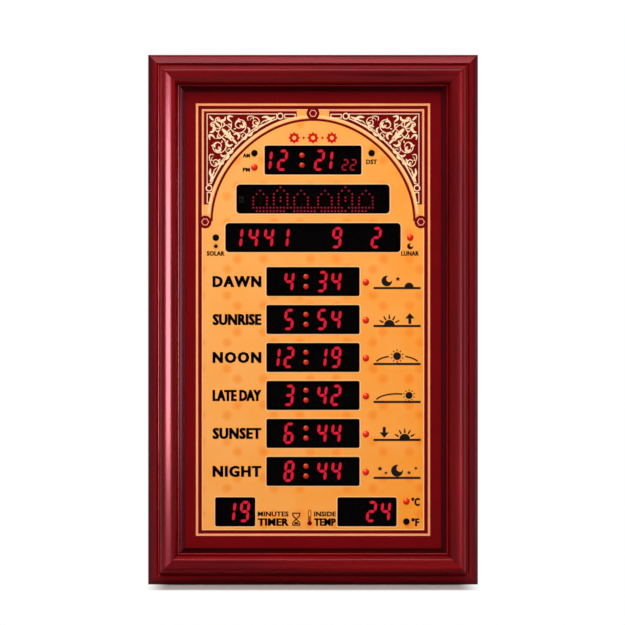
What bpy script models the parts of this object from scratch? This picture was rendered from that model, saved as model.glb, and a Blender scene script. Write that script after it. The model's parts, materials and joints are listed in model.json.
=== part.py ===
"""Wall clock with a moulded wooden frame, a printed face and red digit displays.

The clock faces -Y, with +X to the right and +Z up. The origin is on the wall plane, on
the back of the frame's top rail, just under its top edge.
"""

import math

import bmesh
import bpy
from mathutils import Matrix, Vector

MM = 0.001

# Fits
GAP = 0.3 * MM
WELD = 0.001 * MM
OVERRUN = 2.0 * MM

# Frame: sizes across the moulding are measured inwards from its outer edge
FRAME_WIDTH = 386.0 * MM
FRAME_HEIGHT = 620.0 * MM
EDGE_DEPTH = 42.0 * MM
EDGE_RADIUS = 2.2 * MM
BAND_WIDTH = 8.4 * MM
BAND_RISE = 1.6 * MM
COVE_WIDTH = 3.4 * MM
COVE_DROP = 1.8 * MM
TORUS_WIDTH = 20.0 * MM
TORUS_HEIGHT = 13.2 * MM
BEAD_RADIUS = 1.5 * MM
BEAD_DROP = 1.6 * MM
GROOVE_WIDTH = 2.6 * MM
GROOVE_DROP = 3.4 * MM
LIP_SPACE = 1.4 * MM
LIP_BEAD_RADIUS = 1.0 * MM
BEAD_START = 150
REBATE_DEPTH = 37.0 * MM
REBATE_WIDTH = 7.0 * MM
LEDGE_WIDTH = 12.0 * MM
MITRE_GAP = 0.15 * MM
BAND_END = EDGE_RADIUS + BAND_WIDTH
TORUS_START = BAND_END + COVE_WIDTH
TORUS_END = TORUS_START + TORUS_WIDTH
GROOVE_START = TORUS_END + 2 * BEAD_RADIUS
MOULDING_WIDTH = GROOVE_START + GROOVE_WIDTH + LIP_SPACE + 2 * LIP_BEAD_RADIUS
COVE_FALL_SHARE = 1 / 3
TORUS_STEPS = 14
BEAD_STEPS = 5

# Origin: this far below the frame's top edge
ORIGIN_INSET = 5.0 * MM
FACE_Z = ORIGIN_INSET - FRAME_HEIGHT / 2

# Face: printed film over a smoked pane
FILM_THICKNESS = 0.5 * MM
PANE_THICKNESS = 2.0 * MM
FILM_FRONT = REBATE_DEPTH - GAP
PANE_FRONT = FILM_FRONT - FILM_THICKNESS - GAP
PANE_BACK = PANE_FRONT - PANE_THICKNESS
FACE_WIDTH = FRAME_WIDTH - 2 * (MOULDING_WIDTH - REBATE_WIDTH + GAP)
FACE_HEIGHT = FRAME_HEIGHT - 2 * (MOULDING_WIDTH - REBATE_WIDTH + GAP)

# Digits
DIGIT_WIDTH = 11.8 * MM
DIGIT_HEIGHT = 25.2 * MM
DIGIT_STROKE = 2.7 * MM
SMALL_DIGIT_WIDTH = 6.8 * MM
SMALL_DIGIT_HEIGHT = 14.0 * MM
SMALL_DIGIT_STROKE = 1.5 * MM
SEGMENT_GAP = 0.5 * MM
SEGMENT_RELIEF = 0.3 * MM
SEGMENT_ROOT = 0.6 * MM
SEGMENT_OUTER_SHARE = 0.25
SEGMENT_INNER_SHARE = 0.5
RIGHT_BARS = slice(4, 6)
DIGIT_SLANT = math.radians(6.0)
SLANT_REACH = DIGIT_HEIGHT / 2 * math.tan(DIGIT_SLANT)
TIME_DIGIT_PITCH = 18.1 * MM
ROW_DIGIT_PITCH = 16.4 * MM
SECONDS_PITCH = 9.6 * MM
SECONDS_DROP = 5.4 * MM
TIME_PAIR = TIME_DIGIT_PITCH + DIGIT_WIDTH
ROW_PAIR = ROW_DIGIT_PITCH + DIGIT_WIDTH
SECONDS_PAIR = SECONDS_PITCH + SMALL_DIGIT_WIDTH

# Message display: a row of dot matrix modules
MATRIX_MODULE = 32.0 * MM
MATRIX_MODULES = 5
MATRIX_WIDTH = MATRIX_MODULE * MATRIX_MODULES
MATRIX_SEAM = 0.4 * MM
MATRIX_SEAM_DEPTH = 0.8 * MM
MATRIX_END_MARGIN = 9.75 * MM

# Windows in the film: each is as wide as what shows in it and the margins beside that
WINDOW_MARGIN = 4.5 * MM
WINDOW_HEIGHT = DIGIT_HEIGHT + 2 * WINDOW_MARGIN
WINDOW_CORNER = 2.2 * MM
WIDE_WINDOW_CORNER = 4.4 * MM
CORNER_STEPS = 2
TIME_LEFT_MARGIN = 6.15 * MM
TIME_COLON_SPACE = 31.5 * MM
TIME_COLON_SHIFT = 1.2 * MM
SECONDS_GAP = 2.55 * MM
TIME_RIGHT_MARGIN = 6.3 * MM
TIME_TENS = TIME_LEFT_MARGIN + DIGIT_STROKE + TIME_DIGIT_PITCH
TIME_SECONDS = SECONDS_GAP + SECONDS_PAIR + TIME_RIGHT_MARGIN
TIME_WINDOW_WIDTH = TIME_TENS + TIME_COLON_SPACE + TIME_PAIR + TIME_SECONDS
MESSAGE_WINDOW_WIDTH = MATRIX_WIDTH + 2 * MATRIX_END_MARGIN
DATE_LEFT_MARGIN = 8.65 * MM
YEAR_DIGITS = 4
YEAR_SPAN = (YEAR_DIGITS - 1) * TIME_DIGIT_PITCH + DIGIT_WIDTH
MONTH_GAP = 31.9 * MM
DAY_GAP = 16.3 * MM
DATE_RIGHT_MARGIN = 22.65 * MM
DATE_MARGINS = DATE_LEFT_MARGIN + MONTH_GAP + DAY_GAP + DATE_RIGHT_MARGIN
DATE_WINDOW_WIDTH = YEAR_SPAN + 2 * TIME_PAIR + DATE_MARGINS
ROW_LEFT_MARGIN = 4.2 * MM
ROW_COLON_SPACE = 26.8 * MM
ROW_COLON_SHIFT = 0.6 * MM
ROW_RIGHT_MARGIN = 21.8 * MM
ROW_WINDOW_WIDTH = ROW_LEFT_MARGIN + 2 * ROW_PAIR + ROW_COLON_SPACE + ROW_RIGHT_MARGIN
COUNTDOWN_LEFT_MARGIN = 12.15 * MM
COUNTDOWN_RIGHT_MARGIN = 6.75 * MM
COUNTDOWN_WINDOW_WIDTH = COUNTDOWN_LEFT_MARGIN + ROW_PAIR + COUNTDOWN_RIGHT_MARGIN
TEMPERATURE_DIGITS = 3
TEMPERATURE_SPAN = (TEMPERATURE_DIGITS - 1) * ROW_DIGIT_PITCH + DIGIT_WIDTH
TEMPERATURE_LEFT_MARGIN = 17.85 * MM
TEMPERATURE_RIGHT_MARGIN = 7.05 * MM
TEMPERATURE_WINDOW_WIDTH = TEMPERATURE_LEFT_MARGIN + TEMPERATURE_SPAN + TEMPERATURE_RIGHT_MARGIN

# Heights of the windows, as shares of the face's height from its centre
TIME_HEIGHT_SHARE = 0.3414
MESSAGE_HEIGHT_SHARE = 0.2581
DATE_HEIGHT_SHARE = 0.1756
FIRST_ROW_HEIGHT_SHARE = 0.0815
ROW_PITCH_SHARE = 0.0812
BOTTOM_HEIGHT_SHARE = -0.411
TIME_Z = TIME_HEIGHT_SHARE * FACE_HEIGHT
MESSAGE_Z = MESSAGE_HEIGHT_SHARE * FACE_HEIGHT
DATE_Z = DATE_HEIGHT_SHARE * FACE_HEIGHT
FIRST_ROW_Z = FIRST_ROW_HEIGHT_SHARE * FACE_HEIGHT
ROW_PITCH = ROW_PITCH_SHARE * FACE_HEIGHT
ROW_COUNT = 6
BOTTOM_Z = BOTTOM_HEIGHT_SHARE * FACE_HEIGHT
COUNTDOWN_INSET = 65.6 * MM
TEMPERATURE_INSET = 93.5 * MM
COUNTDOWN_X = COUNTDOWN_INSET - FACE_WIDTH / 2
TEMPERATURE_X = FACE_WIDTH / 2 - TEMPERATURE_INSET

# Displays: blocks that stand on the board, with raised segments
COLON_RADIUS = 3.0 * MM
COLON_HEIGHT = 2.2 * MM
COLON_RISE = 5.8 * MM
COLON_SEGMENTS = 8
DISPLAY_FRONT = PANE_BACK - GAP - COLON_HEIGHT
DISPLAY_DEPTH = 6.6 * MM
DISPLAY_MARGIN = 0.7 * MM

# Indicator lamps
LED_RADIUS = 4.0 * MM
LED_HOLE_RADIUS = LED_RADIUS + GAP
LED_PROUD = 2.8 * MM
LED_FLANGE_RADIUS = 4.6 * MM
LED_FLANGE_HEIGHT = 1.5 * MM
LED_SPACER_RADIUS = 3.0 * MM
LED_SPACER_HEIGHT = 2.3 * MM
LED_STEPS = 10
LED_DOME_STEPS = 3
HOLE_STEPS = 12
TIME_LED_SPACE = 11.8 * MM
AM_LED_RISE = 8.1 * MM
PM_LED_DROP = 8.5 * MM
CALENDAR_LED_SPACE = 11.1 * MM
ROW_LED_SPACE = 7.3 * MM
ROW_LED_DROP = 0.8 * MM
DEGREE_LED_SPACE = 11.35 * MM
CELSIUS_LED_RISE = 12.2 * MM
FAHRENHEIT_LED_DROP = 11.4 * MM
TIME_LED_X = TIME_WINDOW_WIDTH / 2 + TIME_LED_SPACE
CALENDAR_LED_X = DATE_WINDOW_WIDTH / 2 + CALENDAR_LED_SPACE
ROW_LED_X = ROW_WINDOW_WIDTH / 2 + ROW_LED_SPACE
DEGREE_LED_X = TEMPERATURE_X + TEMPERATURE_WINDOW_WIDTH / 2 + DEGREE_LED_SPACE

# Display board
BOARD_THICKNESS = 1.6 * MM
BOARD_FRONT = DISPLAY_FRONT - DISPLAY_DEPTH - GAP
BOARD_BACK = BOARD_FRONT - BOARD_THICKNESS
BOARD_MARGIN = 6.0 * MM
BOARD_HALF_WIDTH = CALENDAR_LED_X + LED_FLANGE_RADIUS + BOARD_MARGIN
BOARD_TOP = TIME_Z + AM_LED_RISE + WINDOW_HEIGHT / 2
BOARD_BOTTOM = BOTTOM_Z - WINDOW_HEIGHT / 2 - DISPLAY_MARGIN - BOARD_MARGIN

# Infrared receiver, behind the blank end of the message window
RECEIVER_WIDTH = 6.0 * MM
RECEIVER_HEIGHT = 7.0 * MM
RECEIVER_DEPTH = 4.4 * MM
RECEIVER_LENS_RADIUS = 2.4 * MM
RECEIVER_SPACE = 1.2 * MM

# Back cover: sits on the frame's ledge, recessed from the wall
COVER_RECESS = 7.0 * MM
COVER_THICKNESS = 2.5 * MM
COVER_FRONT = COVER_RECESS + COVER_THICKNESS
LEDGE_DEPTH = COVER_FRONT + GAP
COVER_EDGE = MOULDING_WIDTH - REBATE_WIDTH - LEDGE_WIDTH + GAP
COVER_WIDTH = FRAME_WIDTH - 2 * COVER_EDGE
COVER_HEIGHT = FRAME_HEIGHT - 2 * COVER_EDGE
POST_RADIUS = 4.5 * MM
POST_X = 110.0 * MM
POST_TOP_INSET = 18.0 * MM
POST_BOTTOM_INSET = 53.0 * MM
POST_STEPS = 12

# Cover screws
SCREW_SHANK_RADIUS = 1.6 * MM
SCREW_LENGTH = 14.0 * MM
SCREW_HEAD_RADIUS = 3.4 * MM
SCREW_HEAD_HEIGHT = 2.0 * MM
SCREW_CROWN_SHARE = 0.7
SCREW_SIDE_SHARE = 0.6
SCREW_TIP = 2.0 * MM
SCREW_RECESS_LENGTH = 3.6 * MM
SCREW_RECESS_WIDTH = 0.9 * MM
SCREW_RECESS_DEPTH = 1.1 * MM
SCREW_STEPS = 10
SCREW_END_INSET = 110.0 * MM
SCREW_Z = FRAME_HEIGHT / 2 - SCREW_END_INSET

# Control board, on short bosses inside the back cover
CONTROL_WIDTH = 116.0 * MM
CONTROL_HEIGHT = 56.0 * MM
CONTROL_X = -36.0 * MM
CONTROL_RISE = 105.0 * MM
CONTROL_Z = CONTROL_RISE - FRAME_HEIGHT / 2
BOSS_HEIGHT = 4.7 * MM
BOSS_RADIUS = 3.0 * MM
BOSS_INSET = 5.0 * MM
CONTROL_BACK = COVER_FRONT + BOSS_HEIGHT + GAP
CONTROL_FRONT = CONTROL_BACK + BOARD_THICKNESS

# Keys on the back
KEY_NAMES = ("menu_key", "up_key", "down_key", "enter_key", "silence_key")
KEY_RADIUS = 4.0 * MM
KEY_PROUD = 2.6 * MM
KEY_TRAVEL = 1.0 * MM
KEY_EDGE = 0.5 * MM
KEY_FLANGE_RADIUS = 5.4 * MM
KEY_FLANGE_HEIGHT = 1.2 * MM
KEY_STEM_RADIUS = 1.5 * MM
KEY_STEM_LENGTH = 0.4 * MM
KEY_STEPS = 12
KEY_PITCH = 15.0 * MM
KEY_INSET = 16.0 * MM
KEY_RISE = 13.0 * MM
KEY_FIRST_X = CONTROL_X - CONTROL_WIDTH / 2 + KEY_INSET
KEY_Z = CONTROL_Z + KEY_RISE
SWITCH_SIZE = 6.0 * MM
SWITCH_CLEARANCE = 0.4 * MM

# Parts soldered to the control board
CHIP_WIDTH = 36.0 * MM
CHIP_HEIGHT = 13.0 * MM
CHIP_DEPTH = 3.6 * MM
CHIP_SHIFT = -30.0 * MM
CHIP_X = CONTROL_X + CHIP_SHIFT
CELL_RADIUS = 10.0 * MM
CELL_DEPTH = 3.2 * MM
CELL_BEVEL = 0.4 * MM
CELL_SHIFT = 14.0 * MM
CELL_X = CONTROL_X + CELL_SHIFT
CELL_STEPS = 24
HOLDER_WALL = 1.4 * MM
HOLDER_FLOOR = 0.8 * MM
RIBBON_WIDTH = 24.0 * MM
RIBBON_THICKNESS = 0.9 * MM
RIBBON_RISE = 16.0 * MM

# Power inlet: mouth down, behind a channel through the bottom rail
INLET_WIDTH = 9.0 * MM
INLET_DEPTH = 11.0 * MM
INLET_LENGTH = 14.0 * MM
INLET_BORE_RADIUS = 3.0 * MM
INLET_BORE_DEPTH = 9.5 * MM
INLET_PIN_RADIUS = 1.0 * MM
INLET_STEPS = 16
INLET_SHIFT = 32.0 * MM
INLET_X = CONTROL_X + INLET_SHIFT
CHANNEL_WIDTH = 13.0 * MM
CHANNEL_DEPTH = CONTROL_BACK + OVERRUN

# Volume control
POT_RADIUS = 8.0 * MM
POT_HEIGHT = 8.0 * MM
POT_BUSH_RADIUS = 3.4 * MM
POT_SHAFT_RADIUS = 2.9 * MM
POT_SHAFT_LENGTH = 3.6 * MM
POT_STEPS = 20
KNOB_RADIUS = 8.5 * MM
KNOB_FLUTE = 0.4 * MM
KNOB_FLUTES = 10
KNOB_HEIGHT = 5.0 * MM
KNOB_BORE_DEPTH = 4.0 * MM
KNOB_MARK_WIDTH = 1.2 * MM
KNOB_MARK_DEPTH = 0.5 * MM
KNOB_OUTLINE_STEPS = 40
KNOB_SPACE = 30.0 * MM
KNOB_X = CONTROL_X + CONTROL_WIDTH / 2 + KNOB_SPACE

# Speaker, on the back cover behind its slots
SPEAKER_RADIUS = 38.0 * MM
SPEAKER_FLANGE = 5.0 * MM
SPEAKER_FLANGE_HEIGHT = 1.4 * MM
SPEAKER_WALL = 0.9 * MM
SPEAKER_NECK_RADIUS = 16.0 * MM
SPEAKER_BASKET_DEPTH = 8.2 * MM
MAGNET_RADIUS = 15.0 * MM
MAGNET_BEVEL = 0.8 * MM
CONE_THICKNESS = 0.6 * MM
CONE_SURROUND = 5.0 * MM
DUST_CAP_RADIUS = 9.0 * MM
DUST_CAP_RISE = 2.6 * MM
DUST_CAP_SHOULDER_SHARE = 0.8
SPEAKER_STEPS = 24
SPEAKER_X = 0.0
SPEAKER_Z = 60.0 * MM
SLOT_COUNT = 7
SLOT_PITCH = 8.0 * MM
SLOT_WIDTH = 3.6 * MM
SLOT_INSET = 4.0 * MM
SLOT_END_STEPS = 3

# Hanger on the top rail
POCKET_WIDTH = 25.0 * MM
POCKET_DEPTH = 4.4 * MM
POCKET_TOP = 10.0 * MM
STRAP_WIDTH = 13.0 * MM
STRAP_THICKNESS = 1.2 * MM
RING_WIRE_RADIUS = 1.0 * MM
RING_BORE_RADIUS = RING_WIRE_RADIUS + GAP
RING_HALF_WIDTH = 8.6 * MM
RING_DROP = 9.0 * MM
RING_ARC_STEPS = 12
KNUCKLE_STEPS = 16
KNUCKLE_CLEARANCE = 0.5 * MM
HANGER_SCREW_LENGTH = 12.0 * MM
HANGER_SCREW_DROP = 6.5 * MM
RAIL_BACK_WIDTH = MOULDING_WIDTH - REBATE_WIDTH - LEDGE_WIDTH

for old in list(bpy.data.objects):
    bpy.data.objects.remove(old)

PARTS = bpy.data.collections.new("azan_clock")
CUTTERS = bpy.data.collections.new("cutters")
bpy.context.scene.collection.children.link(PARTS)
bpy.context.scene.collection.children.link(CUTTERS)

# Everything is placed from the centre of the face, on the wall plane
centre = bpy.data.objects.new("face_centre", None)
centre.location = (0, 0, FACE_Z)
PARTS.objects.link(centre)


def make_material(name, colour, roughness, metallic=0.0, alpha=1.0):
    """Principled material in one colour."""
    material = bpy.data.materials.new(name)
    material.use_nodes = True
    shader = material.node_tree.nodes["Principled BSDF"]
    shader.inputs["Base Color"].default_value = (*colour, 1.0)
    shader.inputs["Roughness"].default_value = roughness
    shader.inputs["Metallic"].default_value = metallic
    shader.inputs["Alpha"].default_value = alpha
    return material


WOOD = make_material("red_lacquered_wood", (0.16, 0.004, 0.012), 0.25)
FILM = make_material("printed_film", (0.9, 0.42, 0.1), 0.4)
SMOKED = make_material("smoked_acrylic", (0.03, 0.02, 0.02), 0.05, alpha=0.35)
DISPLAY = make_material("display_block", (0.02, 0.01, 0.01), 0.35)
LAMP = make_material("red_lamp", (0.8, 0.05, 0.02), 0.15)
GREEN_BOARD = make_material("circuit_board", (0.02, 0.16, 0.05), 0.4)
COVER = make_material("cover_board", (0.03, 0.03, 0.03), 0.6)
BLACK_PLASTIC = make_material("black_plastic", (0.02, 0.02, 0.02), 0.45)
GREY_PLASTIC = make_material("grey_plastic", (0.35, 0.35, 0.36), 0.5)
STEEL = make_material("plated_steel", (0.6, 0.6, 0.62), 0.3, metallic=1.0)
FERRITE = make_material("ferrite", (0.06, 0.06, 0.065), 0.55)
PAPER = make_material("speaker_paper", (0.03, 0.03, 0.03), 0.8)


def own(obj, material, x, depth, z):
    """Give a finished object its material and its place, depth being out from the wall."""
    if material:
        obj.data.materials.clear()
        obj.data.materials.append(material)
    obj.location = (x, -depth, z)
    obj.parent = centre
    return obj


def as_cutter(obj):
    """Keep a shape out of the model, as a tool for Boolean modifiers."""
    for collection in list(obj.users_collection):
        collection.objects.unlink(obj)
    CUTTERS.objects.link(obj)
    obj.hide_render = True
    obj.display_type = "WIRE"
    return obj


def boolean(obj, other, operation):
    """Cut or join another shape, which becomes a cutter."""
    modifier = obj.modifiers.new(other.name, "BOOLEAN")
    modifier.object = as_cutter(other)
    modifier.operation = operation
    modifier.solver = "EXACT"


def box(name, size, x, depth, z, material=None):
    """Box centred at x and z, from its back face at the given depth towards the front."""
    bpy.ops.mesh.primitive_cube_add(size=1)
    obj = bpy.context.object
    obj.name = name
    for collection in list(obj.users_collection):
        collection.objects.unlink(obj)
    PARTS.objects.link(obj)
    obj.data.transform(Matrix.Diagonal((*size, 1)))
    return own(obj, material, x, depth + size[1] / 2, z)


def mesh_object(name, mesh):
    obj = bpy.data.objects.new(name, mesh)
    PARTS.objects.link(obj)
    return obj


def plate(name, loops, thickness, material=None):
    """Flat plate from closed outlines in x and z; an outline inside another is a hole.

    The plate's own origin is at the middle of its thickness, and it faces -Y.
    """
    curve = bpy.data.curves.new(name, "CURVE")
    curve.dimensions = "2D"
    curve.fill_mode = "BOTH"
    curve.extrude = thickness / 2
    for loop in loops:
        spline = curve.splines.new("POLY")
        spline.points.add(len(loop) - 1)
        for point, (x, y) in zip(spline.points, loop):
            point.co = (x, y, 0, 1)
        spline.use_cyclic_u = True
    outline = mesh_object(name + "_outline", curve)
    graph = bpy.context.evaluated_depsgraph_get()
    mesh = bpy.data.meshes.new_from_object(outline.evaluated_get(graph))
    bpy.data.objects.remove(outline)
    solid = bmesh.new()
    solid.from_mesh(mesh)
    bmesh.ops.remove_doubles(solid, verts=solid.verts, dist=WELD)
    bmesh.ops.beautify_fill(solid, faces=solid.faces, edges=solid.edges)
    bmesh.ops.recalc_face_normals(solid, faces=solid.faces)
    solid.to_mesh(mesh)
    solid.free()
    obj = mesh_object(name, mesh)
    obj.rotation_euler = (math.pi / 2, 0, 0)
    if material:
        mesh.materials.clear()
        mesh.materials.append(material)
    return obj


def orient(obj, first, second):
    """Turn a flat piece so that its outline's two directions lie along the given ones."""
    columns = (Vector(first), Vector(second), Vector(first).cross(Vector(second)))
    obj.rotation_euler = Matrix(columns).transposed().to_euler()


def turned_mesh(name, profile):
    """Open profile of radius and height, from its top down its outer side."""
    mesh = bpy.data.meshes.new(name)
    points = [(radius, 0, height) for radius, height in profile]
    edges = [(index, index + 1) for index in range(len(points) - 1)]
    mesh.from_pydata(points, edges, [])
    return mesh


def turned(name, profile, steps, material=None, mesh=None):
    """Round piece whose axis runs out from the wall, with its top towards the front."""
    obj = mesh_object(name, mesh or turned_mesh(name, profile))
    screw = obj.modifiers.new("turn", "SCREW")
    screw.steps = steps
    screw.render_steps = steps
    screw.use_merge_vertices = True
    screw.merge_threshold = WELD
    screw.use_smooth_shade = True
    obj.rotation_euler = (math.pi / 2, 0, 0)
    if material and mesh is None:
        obj.data.materials.append(material)
    return obj


def backward(obj):
    """Turn a round piece so that its top faces the wall."""
    obj.rotation_euler = (-math.pi / 2, 0, 0)
    return obj


def arc(centre_x, centre_y, radius_x, radius_y, start, end, steps):
    """Points on an elliptical arc, with angles in degrees."""
    points = []
    for step in range(steps + 1):
        angle = math.radians(start + (end - start) * step / steps)
        points.append((centre_x + radius_x * math.cos(angle), centre_y + radius_y * math.sin(angle)))
    return points


def circle(x, z, radius, steps=HOLE_STEPS):
    return arc(x, z, radius, radius, 0, 360, steps)[:-1]


def rounded_rectangle(x, z, width, height, corner):
    """Rectangle outline with round corners."""
    half_x = width / 2 - corner
    half_z = height / 2 - corner
    points = []
    for sign_x, sign_z, start in ((1, 1, 0), (-1, 1, 90), (-1, -1, 180), (1, -1, 270)):
        corner_x = x + sign_x * half_x
        corner_z = z + sign_z * half_z
        points += arc(corner_x, corner_z, corner, corner, start, start + 90, CORNER_STEPS)
    return points


def rectangle(x, z, width, height):
    return [
        (x - width / 2, z - height / 2),
        (x + width / 2, z - height / 2),
        (x + width / 2, z + height / 2),
        (x - width / 2, z + height / 2),
    ]


# Frame


def moulding_profile():
    """Outline of the moulding: distance inwards from the outer edge, and depth from the wall."""
    band_top = EDGE_DEPTH + BAND_RISE
    torus_base = band_top - COVE_DROP
    torus_x = TORUS_START + TORUS_WIDTH / 2
    bead_depth = torus_base - BEAD_DROP
    bead_x = TORUS_END + BEAD_RADIUS
    groove_depth = bead_depth + BEAD_RADIUS - GROOVE_DROP
    lip_x = MOULDING_WIDTH - LIP_BEAD_RADIUS
    points = [(0, 0)]
    points += arc(EDGE_RADIUS, EDGE_DEPTH - EDGE_RADIUS, EDGE_RADIUS, EDGE_RADIUS, 180, 90, BEAD_STEPS)
    points.append((BAND_END, band_top))
    points.append((BAND_END + COVE_WIDTH * COVE_FALL_SHARE, torus_base))
    points += arc(torus_x, torus_base, TORUS_WIDTH / 2, TORUS_HEIGHT, 180, 0, TORUS_STEPS)
    points.append((TORUS_END, bead_depth))
    points += arc(bead_x, bead_depth, BEAD_RADIUS, BEAD_RADIUS, BEAD_START, 0, BEAD_STEPS)
    points.append((GROOVE_START, groove_depth))
    points.append((GROOVE_START + GROOVE_WIDTH, groove_depth))
    points += arc(lip_x, groove_depth, LIP_BEAD_RADIUS, LIP_BEAD_RADIUS, BEAD_START, 0, BEAD_STEPS)
    points.append((MOULDING_WIDTH, REBATE_DEPTH))
    points.append((MOULDING_WIDTH - REBATE_WIDTH, REBATE_DEPTH))
    points.append((MOULDING_WIDTH - REBATE_WIDTH, LEDGE_DEPTH))
    points.append((RAIL_BACK_WIDTH, LEDGE_DEPTH))
    points.append((RAIL_BACK_WIDTH, 0))
    return points


def frame_member(name, length, inward, x, z):
    """One mitred length of moulding; inward is the direction across it, in x and z."""
    obj = plate(name, [moulding_profile()], length, WOOD)
    for vertex in obj.data.vertices:
        half = length / 2 - vertex.co.x - MITRE_GAP
        vertex.co.z = math.copysign(half, vertex.co.z)
    orient(obj, (inward[0], 0, inward[1]), (0, -1, 0))
    return own(obj, None, x, 0, z)


top_rail = frame_member("frame_top_rail", FRAME_WIDTH, (0, -1), 0, FRAME_HEIGHT / 2)
bottom_rail = frame_member("frame_bottom_rail", FRAME_WIDTH, (0, 1), 0, -FRAME_HEIGHT / 2)
left_stile = frame_member("frame_left_stile", FRAME_HEIGHT, (1, 0), -FRAME_WIDTH / 2, 0)
right_stile = frame_member("frame_right_stile", FRAME_HEIGHT, (-1, 0), FRAME_WIDTH / 2, 0)

# Hanger pocket, open towards the middle of the clock
pocket_height = RAIL_BACK_WIDTH - POCKET_TOP + OVERRUN
pocket_z = FRAME_HEIGHT / 2 - POCKET_TOP - pocket_height / 2
pocket = box(
    "hanger_pocket", (POCKET_WIDTH, POCKET_DEPTH + OVERRUN, pocket_height), 0, -OVERRUN, pocket_z
)
boolean(top_rail, pocket, "DIFFERENCE")

# Channel that lets the power plug reach its inlet from below
channel_height = MOULDING_WIDTH - REBATE_WIDTH + 2 * OVERRUN
channel_z = -FRAME_HEIGHT / 2 - OVERRUN + channel_height / 2
channel = box(
    "plug_channel", (CHANNEL_WIDTH, CHANNEL_DEPTH + OVERRUN, channel_height), INLET_X, -OVERRUN, channel_z
)
boolean(bottom_rail, channel, "DIFFERENCE")


# Face film and pane

row_z = [FIRST_ROW_Z - ROW_PITCH * row for row in range(ROW_COUNT)]

lamp_places = {
    "am_led": (-TIME_LED_X, TIME_Z + AM_LED_RISE),
    "pm_led": (-TIME_LED_X, TIME_Z - PM_LED_DROP),
    "summer_time_led": (TIME_LED_X, TIME_Z + AM_LED_RISE),
    "solar_calendar_led": (-CALENDAR_LED_X, DATE_Z),
    "lunar_calendar_led": (CALENDAR_LED_X, DATE_Z),
    "celsius_led": (DEGREE_LED_X, BOTTOM_Z + CELSIUS_LED_RISE),
    "fahrenheit_led": (DEGREE_LED_X, BOTTOM_Z - FAHRENHEIT_LED_DROP),
}
for row, z in enumerate(row_z):
    lamp_places[f"row_led_{row + 1}"] = (ROW_LED_X, z - ROW_LED_DROP)


def face_plate(name, loops, thickness, front, material):
    """Full-size sheet of the face, with lamp holes and any other holes."""
    outline = [rectangle(0, 0, FACE_WIDTH, FACE_HEIGHT)]
    holes = [circle(x, z, LED_HOLE_RADIUS) for x, z in lamp_places.values()]
    obj = plate(name, outline + holes + loops, thickness, material)
    return own(obj, None, 0, front - thickness / 2, 0)


windows = [
    rounded_rectangle(0, TIME_Z, TIME_WINDOW_WIDTH, WINDOW_HEIGHT, WINDOW_CORNER),
    rounded_rectangle(0, MESSAGE_Z, MESSAGE_WINDOW_WIDTH, WINDOW_HEIGHT, WIDE_WINDOW_CORNER),
    rounded_rectangle(0, DATE_Z, DATE_WINDOW_WIDTH, WINDOW_HEIGHT, WIDE_WINDOW_CORNER),
    rounded_rectangle(COUNTDOWN_X, BOTTOM_Z, COUNTDOWN_WINDOW_WIDTH, WINDOW_HEIGHT, WINDOW_CORNER),
    rounded_rectangle(TEMPERATURE_X, BOTTOM_Z, TEMPERATURE_WINDOW_WIDTH, WINDOW_HEIGHT, WINDOW_CORNER),
]
for z in row_z:
    windows.append(rounded_rectangle(0, z, ROW_WINDOW_WIDTH, WINDOW_HEIGHT, WINDOW_CORNER))

face_plate("face_film", windows, FILM_THICKNESS, FILM_FRONT, FILM)
face_plate("face_pane", [], PANE_THICKNESS, PANE_FRONT, SMOKED)


# Displays


def segment_loops(x, z, width, height, stroke):
    """The seven segments of one slanted digit: mitred bars and a pointed middle bar."""
    left = -width / 2
    right = width / 2
    top = height / 2
    gap = SEGMENT_GAP / 2
    bars = []
    for sign in (1, -1):
        outer = sign * top
        inner = sign * (top - stroke)
        bars.append([
            (left + gap, outer), (right - gap, outer),
            (right - stroke - gap, inner), (left + stroke + gap, inner),
        ])
    for outer, inner in ((left, left + stroke), (right, right - stroke)):
        for sign in (1, -1):
            bars.append([
                (outer, sign * (top - gap)), (outer, sign * (stroke * SEGMENT_OUTER_SHARE + gap)),
                (inner, sign * (stroke * SEGMENT_INNER_SHARE + gap)), (inner, sign * (top - stroke - gap)),
            ])
    point = left + stroke / 2 + gap
    shoulder = left + stroke + gap
    bars.append([
        (point, 0), (shoulder, stroke / 2), (-shoulder, stroke / 2),
        (-point, 0), (-shoulder, -stroke / 2), (shoulder, -stroke / 2),
    ])
    slant = math.tan(DIGIT_SLANT)
    return [[(x + px + pz * slant, z + pz) for px, pz in bar] for bar in bars]


def digit_group(x, z, count, pitch, width=DIGIT_WIDTH, height=DIGIT_HEIGHT, stroke=DIGIT_STROKE):
    """Segments of evenly spaced digits about x."""
    loops = []
    for index in range(count):
        digit_x = x + pitch * (index - (count - 1) / 2)
        loops += segment_loops(digit_x, z, width, height, stroke)
    return loops


def colon_domes(name, x, z):
    """Pair of low domes at the front plane of a display."""
    domes = bmesh.new()
    for sign in (1, -1):
        place = Matrix.Translation((0, 0, sign * COLON_RISE))
        flatten = Matrix.Diagonal((COLON_RADIUS, COLON_HEIGHT, COLON_RADIUS, 1))
        bmesh.ops.create_uvsphere(
            domes, u_segments=COLON_SEGMENTS, v_segments=COLON_SEGMENTS // 2 + 1, radius=1,
            matrix=place @ flatten @ Matrix.Rotation(math.pi / 2, 4, "X"),
        )
    mesh = bpy.data.meshes.new(name + "_colon")
    domes.to_mesh(mesh)
    domes.free()
    return own(mesh_object(name + "_colon", mesh), None, x, DISPLAY_FRONT, z)


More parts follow.
